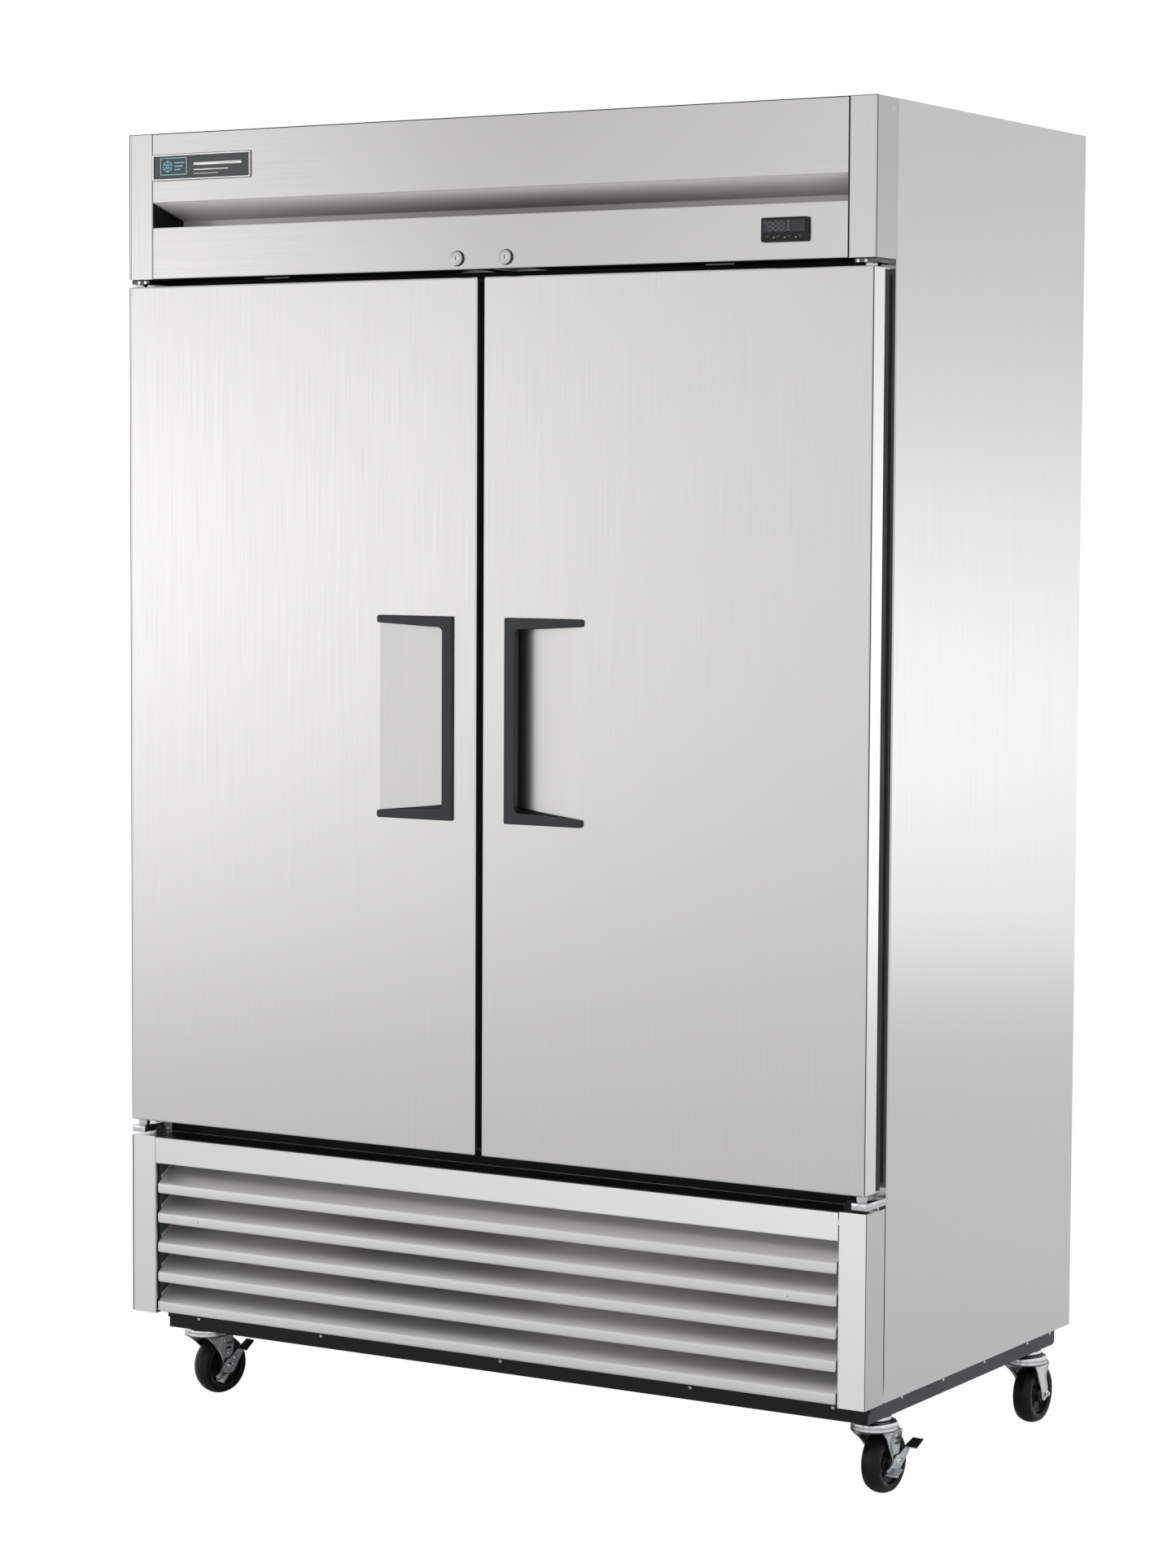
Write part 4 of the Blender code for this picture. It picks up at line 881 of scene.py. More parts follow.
def lock_details():
    header_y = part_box("header_panel")[0].y
    ring_profile = [(0.0040, 0.0002), (0.0082, 0.0002), (0.0088, 0.0008), (0.0105, 0.0007), (0.0112, 0.0001)]
    ring_profile += [(0.0114, -0.0010), (0.0040, -0.0010)]
    shade_ring_profile = [(0.0112, 0.0002), (0.0125, 0.0002), (0.0125, -0.0008), (0.0112, -0.0008)]
    plug_profile = [(0.0008, 0.0009), (0.0052, 0.0009), (0.0058, 0.0003), (0.0058, -0.0004)]
    plug_profile.append((0.0008, -0.0004))
    for name in SIDES:
        body = f"lock_{name}"
        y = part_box(body)[0].y
        x, _, z = JOINTS[f"{body}_turn"]["pos_m"]
        ring = Shape().lathe(ring_profile, (x, y, z), -Y, 40, True)
        ring.piece(f"{body}_trim_ring", body, RING_ZINC, "zinc_plate")
        # A dark ring round the trim ring: painted shade in the gap between it and the header.
        gap = Shape().lathe(shade_ring_profile, (x, header_y - 0.0001, z), -Y, 40, True)
        gap.piece(f"{body}_bezel_shade_ring", "cabinet", DARK_STEEL, "black_frame")
        plug = Shape().lathe(plug_profile, (x, y, z), -Y, 32, True)
        plug.piece(f"{body}_plug", body, ZINC, "zinc_plate")
        # A black bar on the plug for the keyhole: painted shade inside the key slot.
        key = Shape().box((x - 0.0009, y - 0.00105, z - 0.0034), (x + 0.0009, y - 0.0002, z + 0.0034), 0.0003)
        key.piece(f"{body}_keyway", body, WALL_PLASTIC, "gloss_black_plastic")


def segment_digit(shape, x, z, height, y):
    """The seven bars of one numeral place."""
    width, bar = height * 0.55, height * 0.10
    rows = (z, z + height / 2, z + height)
    for row in rows:
        shape.box((x + bar, y - 0.0001, row - bar / 2), (x + width - bar, y + 0.0001, row + bar / 2))
    for low in rows[:2]:
        for at in (x, x + width):
            up = (low + bar * 0.8, low + height / 2 - bar * 0.8)
            shape.box((at - bar / 2, y - 0.0001, up[0]), (at + bar / 2, y + 0.0001, up[1]))


def controller():
    low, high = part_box("controller_bezel")
    front = low.y
    x0, x1, z0, z1 = low.x, high.x, low.z, high.z
    panel = Shape()
    rect = (x0 + 0.0030, x1 - 0.0045, z0 + 0.0140, z1 - 0.0035)
    ring = round_rect(*rect, 0.0016, 3)
    panel.prism(ring, front - 0.0004, front + 0.0001, UPRIGHT)
    panel.piece("controller_face", "cabinet", PANEL_PLASTIC, "charcoal_plastic")
    rim = Shape()
    profile = [(0.0, front + 0.0018), (0.0, front + 0.0002), (0.0008, front - 0.0009)]
    profile += [(0.0020, front - 0.0009), (0.0028, front + 0.0001), (0.0028, front + 0.0018)]
    rim.frame_ring(profile, (x0 - 0.0006, x1 + 0.0006, z0 - 0.0006, z1 + 0.0006), 0.0030, 4)
    rim.piece("controller_rim", "cabinet", BEZEL_PLASTIC, "gloss_black_plastic")
    y = front - 0.0005
    digits = Shape()
    for number in range(3):
        segment_digit(digits, x0 + 0.0115 + number * 0.0100, z0 + 0.0165, 0.0125, y)
    digits.piece("controller_digits", "cabinet", DIM_SEGMENT, "charcoal_plastic")
    dots = Shape()
    marks = [(x0 + 0.0062, z1 - 0.0070)] + [(x0 + 0.0455, z0 + 0.0170 + step * 0.0042) for step in range(4)]
    for x, z in marks:
        dots.lathe([(0, 0.0002), (0.0006, 0.0002), (0.0007, 0)], (x, front - 0.0004, z), -Y, 10)
    for number, x in enumerate((0.0200, 0.0385, 0.0570)):
        dots.box((x0 + x, front - 0.0002, z0 + 0.0056), (x0 + x + 0.0022, front + 0.0001, z0 + 0.0064))
    dots.piece("controller_marks", "cabinet", WHITE_INK, "gloss_black_plastic")
    red = Shape()
    red.box((x0 + 0.0240, front - 0.0002, z0 + 0.0056), (x0 + 0.0262, front + 0.0001, z0 + 0.0064))
    red.piece("controller_red_mark", "cabinet", RED_INK, "gloss_black_plastic")


def header_details():
    badge()
    lock_details()
    controller()
    flanges = Shape()
    for side in SIDES.values():
        x0, x1 = side * 0.385, side * 0.435
        flanges.box((x0, -0.3490, 1.8795), (x1, -0.3120, 1.8806), 0.0004)
        flanges.box((side * 0.30, -0.3500, 1.8812), (side * 0.60, -0.3300, 1.8818), 0.0002)
    flanges.piece("header_lower_flanges", "cabinet", TRIM_STEEL, "stainless_front")
    # Painted shade: a black strip on the face frame under the doors, where the gap is shaded.
    sill = Shape()
    sill.box((-0.6550, -0.3098, 0.4630), (0.6550, -0.3085, 0.4985))
    sill.piece("sill_black_trim", "cabinet", WALL_PLASTIC, "gloss_black_plastic")
    # Painted shade: a dark sheet on the rail's top, under the doors.
    film = Shape()
    film.box((-0.6385, -0.3725, 0.4616), (0.6385, -0.3125, 0.4624))
    film.piece("rail_top_film", "cabinet", RAIL_TOP_SHADE, "black_frame")
    # Dark lines: the ones between the header panel and its ends are seams; the ones down the outer corners of
    # the header ends and the base posts are painted shade at those folds; one more runs along the header's
    # top edge.
    seams = Shape()
    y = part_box("header_panel")[0].y
    for side in SIDES.values():
        seams.box((side * 0.6396, y - 0.0003, 1.8824), (side * 0.6404, y + 0.0012, 2.1176))
        seams.box((side * 0.6868, y - 0.0002, 1.8824), (side * 0.6877, y + 0.0005, 2.1176))
        seams.box((side * 0.6868, y - 0.0002, 0.1660), (side * 0.6877, y + 0.0005, 0.4620))
    seams.box((-0.6870, y - 0.0003, 2.1171), (0.6870, y + 0.0006, 2.1181))
    seams.piece("header_seams", "cabinet", DARK_STEEL, "black_frame")
    # Painted shade: dark plates at the cove's two ends, a black strip on the face frame above the doors and
    # black strips under the header stand for the shade there.
    ends = Shape()
    section = [(-0.3700, 1.9658), (-0.2932, 1.9658), (-0.2932, 1.9815), (-0.3722, 2.0048)]
    for side in SIDES.values():
        start, stop = sorted((side * 0.6398, side * 0.6388))
        ends.prism(section, start, stop, ACROSS)
    ends.box((-0.6600, -0.3098, 1.8610), (0.6600, -0.3085, 1.8815))
    for x0, x1 in ((-0.6390, -0.0850), (-0.0120, 0.0120), (0.0850, 0.6390)):
        ends.box((x0, -0.3700, 1.8812), (x1, -0.3120, 1.8818))
    ends.piece("header_black_trim", "cabinet", WALL_PLASTIC, "gloss_black_plastic")
    screws = Shape()
    for side in SIDES.values():
        x = side * (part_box("header_end_right")[1].x - 0.0002)
        for z in (1.8887, 2.1010):
            screws.screw((x, -0.3226, z), X * side, 0.0026, 0.0010)
    screws.piece("header_side_screws", "cabinet", CHROME, "zinc_plate")


# ---------------------------------------------------------------- doors


def door_seal(name):
    """Vinyl bellows between the door liner and the face frame."""
    low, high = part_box(f"door_gasket_{name}")
    front, back = low.y + 0.0002, high.y - 0.0001
    wide = 0.0220
    middle = (front + back) / 2
    profile = [(0.0060, front), (0.0040, front + 0.0030), (0.0012, front + 0.0055), (0.0000, middle)]
    profile += [(0.0012, back - 0.0055), (0.0000, back - 0.0030), (0.0006, back - 0.0006), (0.0018, back)]
    profile += [(wide - 0.0020, back), (wide - 0.0004, back - 0.0010), (wide - 0.0010, back - 0.0038)]
    profile += [(wide - 0.0050, back - 0.0060), (wide - 0.0030, middle), (wide - 0.0060, front + 0.0030)]
    profile += [(wide - 0.0080, front)]
    seal = Shape()
    seal.frame_ring(profile, (low.x, high.x, low.z, high.z), 0.004, 2)
    replaced = [f"door_gasket_{name}"]
    seal.piece(f"door_{name}_seal", f"door_{name}", GASKET_VINYL, "gasket_rubber", replaced, 50)


def handle(name, side):
    """A frame round three sides of the scoop, with black drafted walls down into it: the pocket's plastic
    walls, made near black and darker than the frame as painted shade in the pocket.
    """
    low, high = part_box(f"door_handle_{name}")
    body = f"door_{name}"
    front, back = low.y, -0.3783
    z0, z1 = low.z, high.z
    x0, x1 = 0.0488, 0.1904
    grip, tip = 0.018, 0.012
    tilt = math.degrees(math.atan2(grip - tip, x1 - x0 - grip))
    outline = arc((x0 + 0.0022, z0 + 0.0022), 0.0022, 180, 270, 4)
    outline += arc((x1 - 0.0040, z0 + 0.0040), 0.0040, 270, 360, 5)
    outline += arc((x1 - 0.0030, z0 + tip - 0.0030), 0.0030, 0, 90, 4)
    inner = arc((x0 + grip + 0.0050, z0 + grip + 0.0047), 0.0050, 270 - tilt, 180, 5)
    outline += inner
    middle = z0 + z1
    outline += [(x, middle - z) for x, z in reversed(outline)]
    turn = Matrix(((side, 0, 0, 0), (0, 0, 1, 0), (0, 1, 0, 0), (0, 0, 0, 1)))
    shape = Shape()
    shape.prism(outline, front, back, turn, 0.0011, 3)
    inner_x = x0 + grip
    lip_high = (side * inner_x, -0.3690, z1 - 0.020)
    shape.box((side * (inner_x - 0.0030), -0.3795, z0 + 0.020), lip_high, 0.0008)
    node = f"door_handle_{name}"
    shape.piece(f"{node}_frame", body, HANDLE_PLASTIC, "charcoal_plastic", [node])
    # The pocket's walls: near black, darker than the frame, for the painted shade inside the pocket.
    walls = Shape()
    walls.box((side * 0.0542, DOOR_FRONT_Y, SCOOP_Z[0]), (side * 0.0550, -0.3505, SCOOP_Z[1]))
    plan = [(0.0550, DOOR_FRONT_Y), (0.1868, DOOR_FRONT_Y), (0.1050, -0.3648), (0.0550, -0.3555)]
    low_lifts, high_lifts = (0.0175, 0.0122, 0.0205, 0.0265), (0.0175, 0.0122, 0.0170, 0.0195)
    for way, start, lifts in ((1, z0, low_lifts), (-1, z1, high_lifts)):
        loops = [
            [walls.vert((side * x, y, start + way * 0.0118)) for x, y in plan],
            [walls.vert((side * x, y, start + way * lift)) for (x, y), lift in zip(plan, lifts)],
        ]
        walls.skin(loops)
        walls.bm.faces.new(loops[0][::-1])
        walls.bm.faces.new(loops[1])
    walls.piece(f"{node}_walls", body, WALL_PLASTIC, "gloss_black_plastic")
    sheet = Shape()
    curve = [(0.1869, -0.37795), (0.1850, -0.37770), (0.1070, -0.36530), (0.1030, -0.36460)]
    curve.append((0.0549, -0.3557))
    section = curve + [(x, y + 0.0006) for x, y in reversed(curve)]
    mirror = Matrix(((side, 0, 0, 0), (0, 1, 0, 0), (0, 0, 1, 0), (0, 0, 0, 1)))
    sheet.prism(section, *SCOOP_Z, mirror)
    sheet.piece(f"door_{name}_scoop_sheet", body, SCOOP_STEEL, "stainless_front", (), 12)


def gap_shade_band(name):
    """A black band behind the door skin, between it and the seal: painted shade in the gap round the door."""
    low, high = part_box(f"door_liner_{name}")
    profile = [(-0.0003, -0.3428), (-0.0003, -0.3275), (0.0004, -0.3275), (0.0004, -0.3428)]
    band = Shape()
    band.frame_ring(profile, (low.x, high.x, low.z, high.z), 0.004, 2)
    band.piece(f"door_{name}_gap_shade_band", f"door_{name}", GASKET_VINYL, "gasket_rubber")


def door_details():
    bush = [(0.0056, -0.0001), (0.0056, 0.00022), (0.0082, 0.00022), (0.0086, -0.0001)]
    for name, side in SIDES.items():
        body = f"door_{name}"
        low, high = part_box(f"door_skin_{name}")
        outer = max(abs(low.x), abs(high.x))
        # Painted shade: a dark line down the door's folded outer edge, and a dark strip at the back of the
        # fold, in the gap.
        fold = Shape()
        edge_low = (side * (outer - 0.0005), DOOR_FRONT_Y - 0.0002, low.z + 0.001)
        fold.box(edge_low, (side * (outer + 0.0002), DOOR_FRONT_Y + 0.0005, high.z - 0.001))
        back_low = (side * (outer - 0.0040), -0.3432, low.z + 0.002)
        fold.box(back_low, (side * (outer - 0.0004), -0.3422, high.z - 0.002))
        fold.piece(f"{body}_fold_shade_lines", body, DARK_STEEL, "black_frame")
        door_seal(name)
        handle(name, side)
        gap_shade_band(name)
        x, y, _ = JOINTS[f"{body}_hinge"]["pos_m"]
        caps = Shape()
        for z, way in ((low.z, -1), (high.z, 1)):
            caps.lathe(bush, (x, y, z), Z * way, 28, closed=True)
        caps.piece(f"{body}_pin_bushes", body, CHROME, "zinc_plate")


def hinge_details():
    for name, side in SIDES.items():
        x, y, _ = JOINTS[f"door_{name}_hinge"]["pos_m"]
        bottom_hinge(name, side, x, y)
        top_hinge(name, side, x, y)


def reach_of(low, high, side):
    """The inner and outer X of a pair of corners, on their own side."""
    return side * min(abs(low.x), abs(high.x)), side * max(abs(low.x), abs(high.x))


def bottom_hinge(name, side, x, y):
    low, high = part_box(f"bottom_hinge_{name}")
    inner, outer = reach_of(low, high, side)
    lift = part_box(f"door_skin_{name}")[0].z - HINGE_PLATE_Z
    bracket = Shape()
    bracket.box((inner, low.y, 0.4680), (outer - side * 0.0002, high.y, HINGE_PLATE_Z), 0.0005)
    bracket.box((side * 0.665, -0.333, low.z), (side * 0.684, -0.326, 0.4700), 0.0006)
    collar = [(0, lift - 0.0006), (0.0085, lift - 0.0006), (0.0092, lift - 0.0014), (0.0092, 0.0022)]
    collar += [(0.0080, 0.0016), (0.0080, -0.0004), (0, -0.0004)]
    bracket.lathe(collar, (x, y, HINGE_PLATE_Z), Z, 32)
    bracket.tube([(x, y, 0.479), (x, y, high.z)], HINGE_PIN_R, 20)
    bracket.screw((side * 0.676, -0.322, HINGE_PLATE_Z), Z, 0.0036, 0.0016)
    bracket.piece(f"hinge_bottom_{name}", "cabinet", FORK_ZINC, "zinc_plate", [f"bottom_hinge_{name}"])
    catch = Shape()
    catch_x = side * 0.6480
    catch.box((catch_x - 0.0045, -0.3560, 0.4625), (catch_x + 0.0045, -0.3500, 0.4790), 0.0008)
    stud = [(0, 0.010), (0.0030, 0.010), (0.0034, 0.008), (0.0034, 0)]
    catch.lathe(stud, (side * 0.6400, -0.3500, 0.4640), Z, 14)
    catch.piece(f"hinge_stop_{name}", "cabinet", BLACK_FRAME, "black_frame")


def top_hinge(name, side, x, y):
    low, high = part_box(f"top_hinge_{name}")
    inner, outer = reach_of(low, high, side)
    upper = Shape()
    upper.box((inner, low.y, 1.8746), (outer, high.y, high.z), 0.0009)
    collar = Shape()
    profile = [(0.0048, 0.0046), (0.0088, 0.0046), (0.0093, 0.0038), (0.0093, 0), (0.0048, 0)]
    collar.lathe(profile, (x, y, 1.8703), Z, 32, closed=True)
    knob = [(0, 0.0020), (0.0026, 0.0020), (0.0032, 0.0010), (0.0032, 0)]
    for inward in (0.0160, 0.0030):
        collar.lathe(knob, (x - side * inward, low.y, 1.8772), -Y, 12)
    collar.piece(f"hinge_top_{name}_collar", "cabinet", CHROME, "zinc_plate")
    upper.tube([(x, y, low.z), (x, y, 1.8750)], HINGE_PIN_R, 20)
    upper.piece(f"hinge_top_{name}", "cabinet", DULL_ZINC, "zinc_plate", [f"top_hinge_{name}"])


# ---------------------------------------------------------------- inside


def shelf_wires(node):
    low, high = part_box(node)
    edge = 0.0030
    x0, x1, y0, y1 = low.x + edge, high.x - edge, low.y + edge, high.y - edge
    z = low.z + edge
    outline = round_rect(x0, x1, y0, y1, 0.012, 5)
    rim = [(u, v, z) for u, v in outline]
    rim += rim[:2]
    cross = [[(x0, y, z), (x1, y, z)] for y in (y0 + (y1 - y0) * share for share in (0.33, 0.67))]
    count = 32
    thin = []
    for number in range(1, count):
        x = x0 + (x1 - x0) * number / count
        thin.append([(x, y0, z + 0.0014), (x, y1, z + 0.0014)])
    groups = [(0.0029, 10, [rim]), (0.0028, 8, cross), (0.00145, 6, thin)]
    wires(f"{node}_wires", "cabinet", SHELF_COAT, groups, "shelf_coating", [node])


def pilasters():
    """Slotted strips on the walls, with the clips that hold the shelves."""
    low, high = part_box("cabinet_liner")
    wall = high.x - 0.0012
    strips, clips, holes = Shape(), Shape(), Shape()
    z0, z1 = low.z + 0.030, 1.80
    step = 0.0254
    count = int((z1 - z0 - 0.02) / step)
    for side in SIDES.values():
        for y in PILASTER_Y:
            strips.box((side * wall, y - 0.009, z0), (side * (wall - 0.0022), y + 0.009, z1), 0.0005)
            for number in range(count):
                z = z0 + 0.018 + number * step
                # Black bars in the slots: painted shade inside them.
                slot_high = (side * (wall - 0.00245), y + 0.0050, z + 0.0042)
                holes.box((side * (wall - 0.0020), y - 0.0050, z), slot_high)
        strips.box((side * 0.0015, low.y + 0.60, z0), (side * 0.0035, low.y + 0.6158, z1), 0.0003)
    for name, side in SIDES.items():
        x = side * (wall - 0.0024)
        for place in SHELF_PLACES:
            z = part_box(f"shelf_{name}_{place}")[0].z
            for y in PILASTER_Y:
                clips.box((x, y - 0.0070, z - 0.0115), (x - side * 0.0016, y + 0.0070, z - 0.0010), 0.0004)
                clips.box((x, y - 0.0070, z - 0.0026), (x - side * 0.0125, y + 0.0070, z - 0.0010), 0.0004)
    strips.piece("shelf_pilasters", "cabinet", LINER_METAL, "aluminium_liner")
    holes.piece("pilaster_slots", "cabinet", WALL_PLASTIC, "gloss_black_plastic")
    clips.piece("shelf_clips", "cabinet", ZINC, "zinc_plate")


def return_bend(x, y, z, reach, half):
    """A half turn of tube that reaches out from x and ends twice half above z."""
    turns = [math.pi * i / 8 for i in range(9)]
    return [(x + reach * math.sin(a), y, z + half - half * math.cos(a)) for a in turns]


def evaporator_front():
    low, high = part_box("evaporator_housing")
    guard, rings = [], []
    for name in SIDES:
        x, _, z = JOINTS[f"evaporator_fan_{name}_spin"]["pos_m"]
        front = low.y - 0.0050
        for number in range(1, 7):
            radius = 0.012 * number
            ring = [(x + u, front, z + v) for u, v in arc((0, 0), radius, 0, 360, 36)]
            rings.append(ring + [ring[1]])
        for number in range(4):
            a = math.pi * number / 4 + math.pi / 8
            reach = 0.0770
            end = Vector((math.cos(a), 0, math.sin(a)))
            centre = Vector((x, front + 0.0018, z))
            path = [centre - end * reach + Y * 0.0030, centre - end * (reach - 0.004)]
            path += [centre + end * (reach - 0.004), centre + end * reach + Y * 0.0030]
            guard.append(path)
    groups = [(0.0011, 6, rings), (0.0014, 6, guard)]
    wires("evaporator_fan_guards", "cabinet", CHROME, groups, "zinc_plate")
    trim = Shape()
    for z in (low.z + 0.012, high.z - 0.012):
        for x in (-0.38, -0.30, -0.10, 0.0, 0.10, 0.30, 0.38):
            trim.screw((x, low.y, z), -Y, 0.0035, 0.0014)
    for x in (-0.345, 0.345):
        trim.screw((x, low.y + 0.10, low.z), -Z, 0.0035, 0.0014)
        trim.screw((x, high.y - 0.10, low.z), -Z, 0.0035, 0.0014)
    trim.piece("evaporator_screws", "cabinet", CHROME, "zinc_plate")
    coil = Shape()
    for number in range(64):
        x = -0.36 + 0.72 * number / 63
        coil.box((x - 0.0004, 0.030, low.z + 0.012), (x + 0.0004, 0.150, high.z - 0.012))
    coil.piece("evaporator_fins", "cabinet", FIN_METAL, "coil_fins")
    tubes = []
    for row in range(3):
        for col in range(5):
            y, z = 0.045 + row * 0.045, low.z + 0.028 + col * 0.028
            tubes.append([(-0.372, y, z), (0.372, y, z)])
    for way in (-1, 1):
        for row in range(3):
            y = 0.045 + row * 0.045
            for col in range(0 if way > 0 else 1, 4, 2):
                z = low.z + 0.028 + col * 0.028
                tubes.append(return_bend(way * 0.372, y, z, way * 0.014, 0.014))
    wires("evaporator_tubes", "cabinet", COPPER, [(0.0045, 8, tubes)], "coil_fins")
    lamp = Shape()
    lamp.box((-0.300, -0.2330, 2.0440), (0.300, -0.2130, 2.0596), 0.0020)
    lamp.piece("interior_lamp_housing", "cabinet", PALE_PLASTIC, "aluminium_liner")
    lens = Shape()
    lens.box((-0.290, -0.2305, 2.0412), (0.290, -0.2155, 2.0442), 0.0012)
    lens.piece("interior_lamp_lens", "cabinet", LAMP, "aluminium_liner")


def breaker_strips():
    """Plastic edging between the face frame and the liner round each opening."""
    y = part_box("face_frame")[0].y
    bars = Shape()
    zb, zt, outer, inner = 0.5054, 1.8496, 0.6296, 0.0363
    for side in SIDES.values():
        xa, xb = sorted((side * inner, side * outer))
        profile = [(0.0, y - 0.0001), (0.0, y + 0.0060), (0.0022, y + 0.0060)]
        profile += [(0.0032, y + 0.0012), (0.0022, y - 0.0001)]
        bars.frame_ring(profile, (xa, xb, zb, zt), 0.0006, 1)
    bars.piece("breaker_strips", "cabinet", BREAKER_PLASTIC, "grey_door_liner")


def build_inside():
    for name in SIDES:
        for place in SHELF_PLACES:
            shelf_wires(f"shelf_{name}_{place}")
    pilasters()
    evaporator_front()
    breaker_strips()


# ---------------------------------------------------------------- machine deck


def condenser():
    low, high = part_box("condenser_coil")
    x, y_fan, z = JOINTS["condenser_fan_spin"]["pos_m"]
    front, back, shroud = low.y, low.y + 0.055, low.y + 0.115
    base = low.z + 0.0155
    fins = Shape()
    count = 110
    for number in range(count):
        at = low.x + 0.012 + (high.x - low.x - 0.024) * number / (count - 1)
        fins.box((at - 0.00025, front + 0.002, base + 0.004), (at + 0.00025, back, high.z - 0.004))
    fins.piece("condenser_fins", "cabinet", FIN_METAL, "coil_fins", ["condenser_coil"])
    ends = Shape()
    for at in (low.x, high.x - 0.0016):
        ends.box((at, front, low.z), (at + 0.0016, shroud, high.z), 0.0004)
    for at in (low.z + 0.0002, high.z - 0.0016):
        ends.box((low.x, front + 0.0005, at), (high.x, shroud, at + 0.0014), 0.0004)
    radius = 0.102
    steps = 48
    outer = []
    for i in range(steps):
        a = math.tau * i / steps
        way = Vector((math.cos(a), math.sin(a)))
        wide, tall = (high.x - low.x) / 2 - 0.0018, (high.z - base) / 2 + 0.0058
        reach = min(half / abs(part) for half, part in ((wide, way.x), (tall, way.y)) if abs(part) > 1e-6)
        outer.append((x + way.x * reach, (base + high.z) / 2 - 0.006 + way.y * reach))
    hole = arc((x, z), radius, 0, 360, steps)[:-1]
    rings = [(outer, back + 0.001), (hole, back + 0.001), (hole, shroud - 0.002), (hole, shroud - 0.002)]
    rings.append((outer, back + 0.0025))
    loops = [[ends.vert((u, y, v)) for u, v in ring] for ring, y in rings]
    ends.skin(loops, closed_path=True)
    flare = [(radius, 0), (radius + 0.0012, 0), (radius + 0.0012, 0.050), (radius + 0.004, 0.0535)]
    flare += [(radius + 0.004, 0.0545), (radius, 0.0512)]
    ends.lathe(flare, (x, back + 0.001, z), Y, 48, True)
    ends.piece("condenser_shroud", "cabinet", GALVANISED, "galvanised")
    paths = []
    for row in range(2):
        for col in range(8):
            y, zz = front + 0.016 + row * 0.024, base + 0.016 + col * 0.0265
            paths.append([(low.x - 0.004, y, zz), (high.x + 0.004, y, zz)])
            if col < 7:
                way = 1 if (col + row) % 2 else -1
                edge = high.x + 0.004 if way > 0 else low.x - 0.004
                paths.append(return_bend(edge, y, zz, way * 0.0132, 0.01325))
    wires("condenser_tubes", "cabinet", COPPER, [(0.0038, 8, paths)], "coil_fins")
    motor = Shape()
    body = [(0, 0.000), (0.020, 0.000), (0.033, 0.003), (0.036, 0.008), (0.036, 0.044), (0.032, 0.050)]
    body += [(0.012, 0.052), (0.012, 0.056), (0, 0.056)]
    motor.lathe(body, (x, shroud + 0.005, z), Y, 36)
    motor.tube([(x, y_fan, z), (x, shroud + 0.006, z)], 0.004, 12)
    for number in range(12):
        spin = Matrix.Rotation(math.tau * number / 12, 3, "Y")
        centre = Vector((x, shroud + 0.031, z)) + spin @ Vector((0, 0, 0.0362))
        size = Vector((0.0012, 0.015, 0.0012))
        motor.box(centre - size, centre + size, 0.0003, spin)
    motor.piece("condenser_motor", "cabinet", COMPRESSOR_PAINT, "compressor_black")
    strap = Shape()
    for z0, z1 in ((base - 0.010, z - 0.034), (z + 0.034, high.z - 0.001)):
        strap.box((x - 0.012, shroud - 0.0005, z0), (x + 0.012, shroud + 0.0015, z1), 0.0005)
    strap.lathe([(0.030, 0), (0.030, 0.005), (0.0375, 0.005), (0.0375, 0)], (x, shroud, z), Y, 36, True)
    strap.piece("condenser_motor_strap", "cabinet", GALVANISED, "galvanised")


def border(grid):
    """The outer points of a grid of rows, once round."""
    down, up = [row[0] for row in grid], [row[-1] for row in reversed(grid[:-1])]
    return down + grid[-1][1:] + up + grid[0][-2:0:-1]


def fan_blades(node, count):
    """Curved, pitched blades on a domed hub."""
    low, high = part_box(node)
    centre = Vector(JOINTS[f"{node}_spin"]["pos_m"])
    radius = (high.x - low.x + high.z - low.z) / 4 - 0.001
    depth = high.y - low.y
    shape = Shape(Matrix.Translation(centre))
    hub = radius * 0.28
    back, front = -depth / 2, depth / 2
    profile = [(0, back), (hub * 0.7, back), (hub * 0.93, back + 0.002), (hub, back + 0.005)]
    profile += [(hub, front - 0.002), (hub * 0.95, front), (0, front)]
    shape.lathe(profile, (0, 0, 0), Y, 32)
    rows, cols = 7, 6
    for number in range(count):
        spin = Matrix.Rotation(math.tau * number / count, 4, "Y")
        sheets = []
        for lift in (-0.0007, 0.0007):
            grid = []
            for i in range(rows):
                share = i / (rows - 1)
                r = hub * 0.9 + (radius * 0.97 - hub * 0.9) * share
                pitch = math.radians(40 - 18 * share)
                width = math.radians(52 - 6 * share) * 0.5
                row = []
                for j in range(cols):
                    t = -1 + 2 * j / (cols - 1)
                    rounding = 1 - 0.22 * share ** 4 * t * t
                    a = t * width + 0.18 * share
                    y = -t * r * width * math.tan(pitch) * 0.55 + 0.003 * (1 - t * t)
                    y = max(-depth / 2 + 0.001, min(depth / 2 - 0.001, y)) + lift
                    out = r * rounding
                    row.append(shape.vert((out * math.cos(a), y, out * math.sin(a)), spin))
                grid.append(row)
            sheets.append(grid)
        for sheet in sheets:
            shape.skin(sheet, closed_ring=False)
        shape.skin([border(sheet) for sheet in sheets])
    shape.piece(f"{node}_wheel", node, FAN_PLASTIC, "fan_plastic", [node], 45)


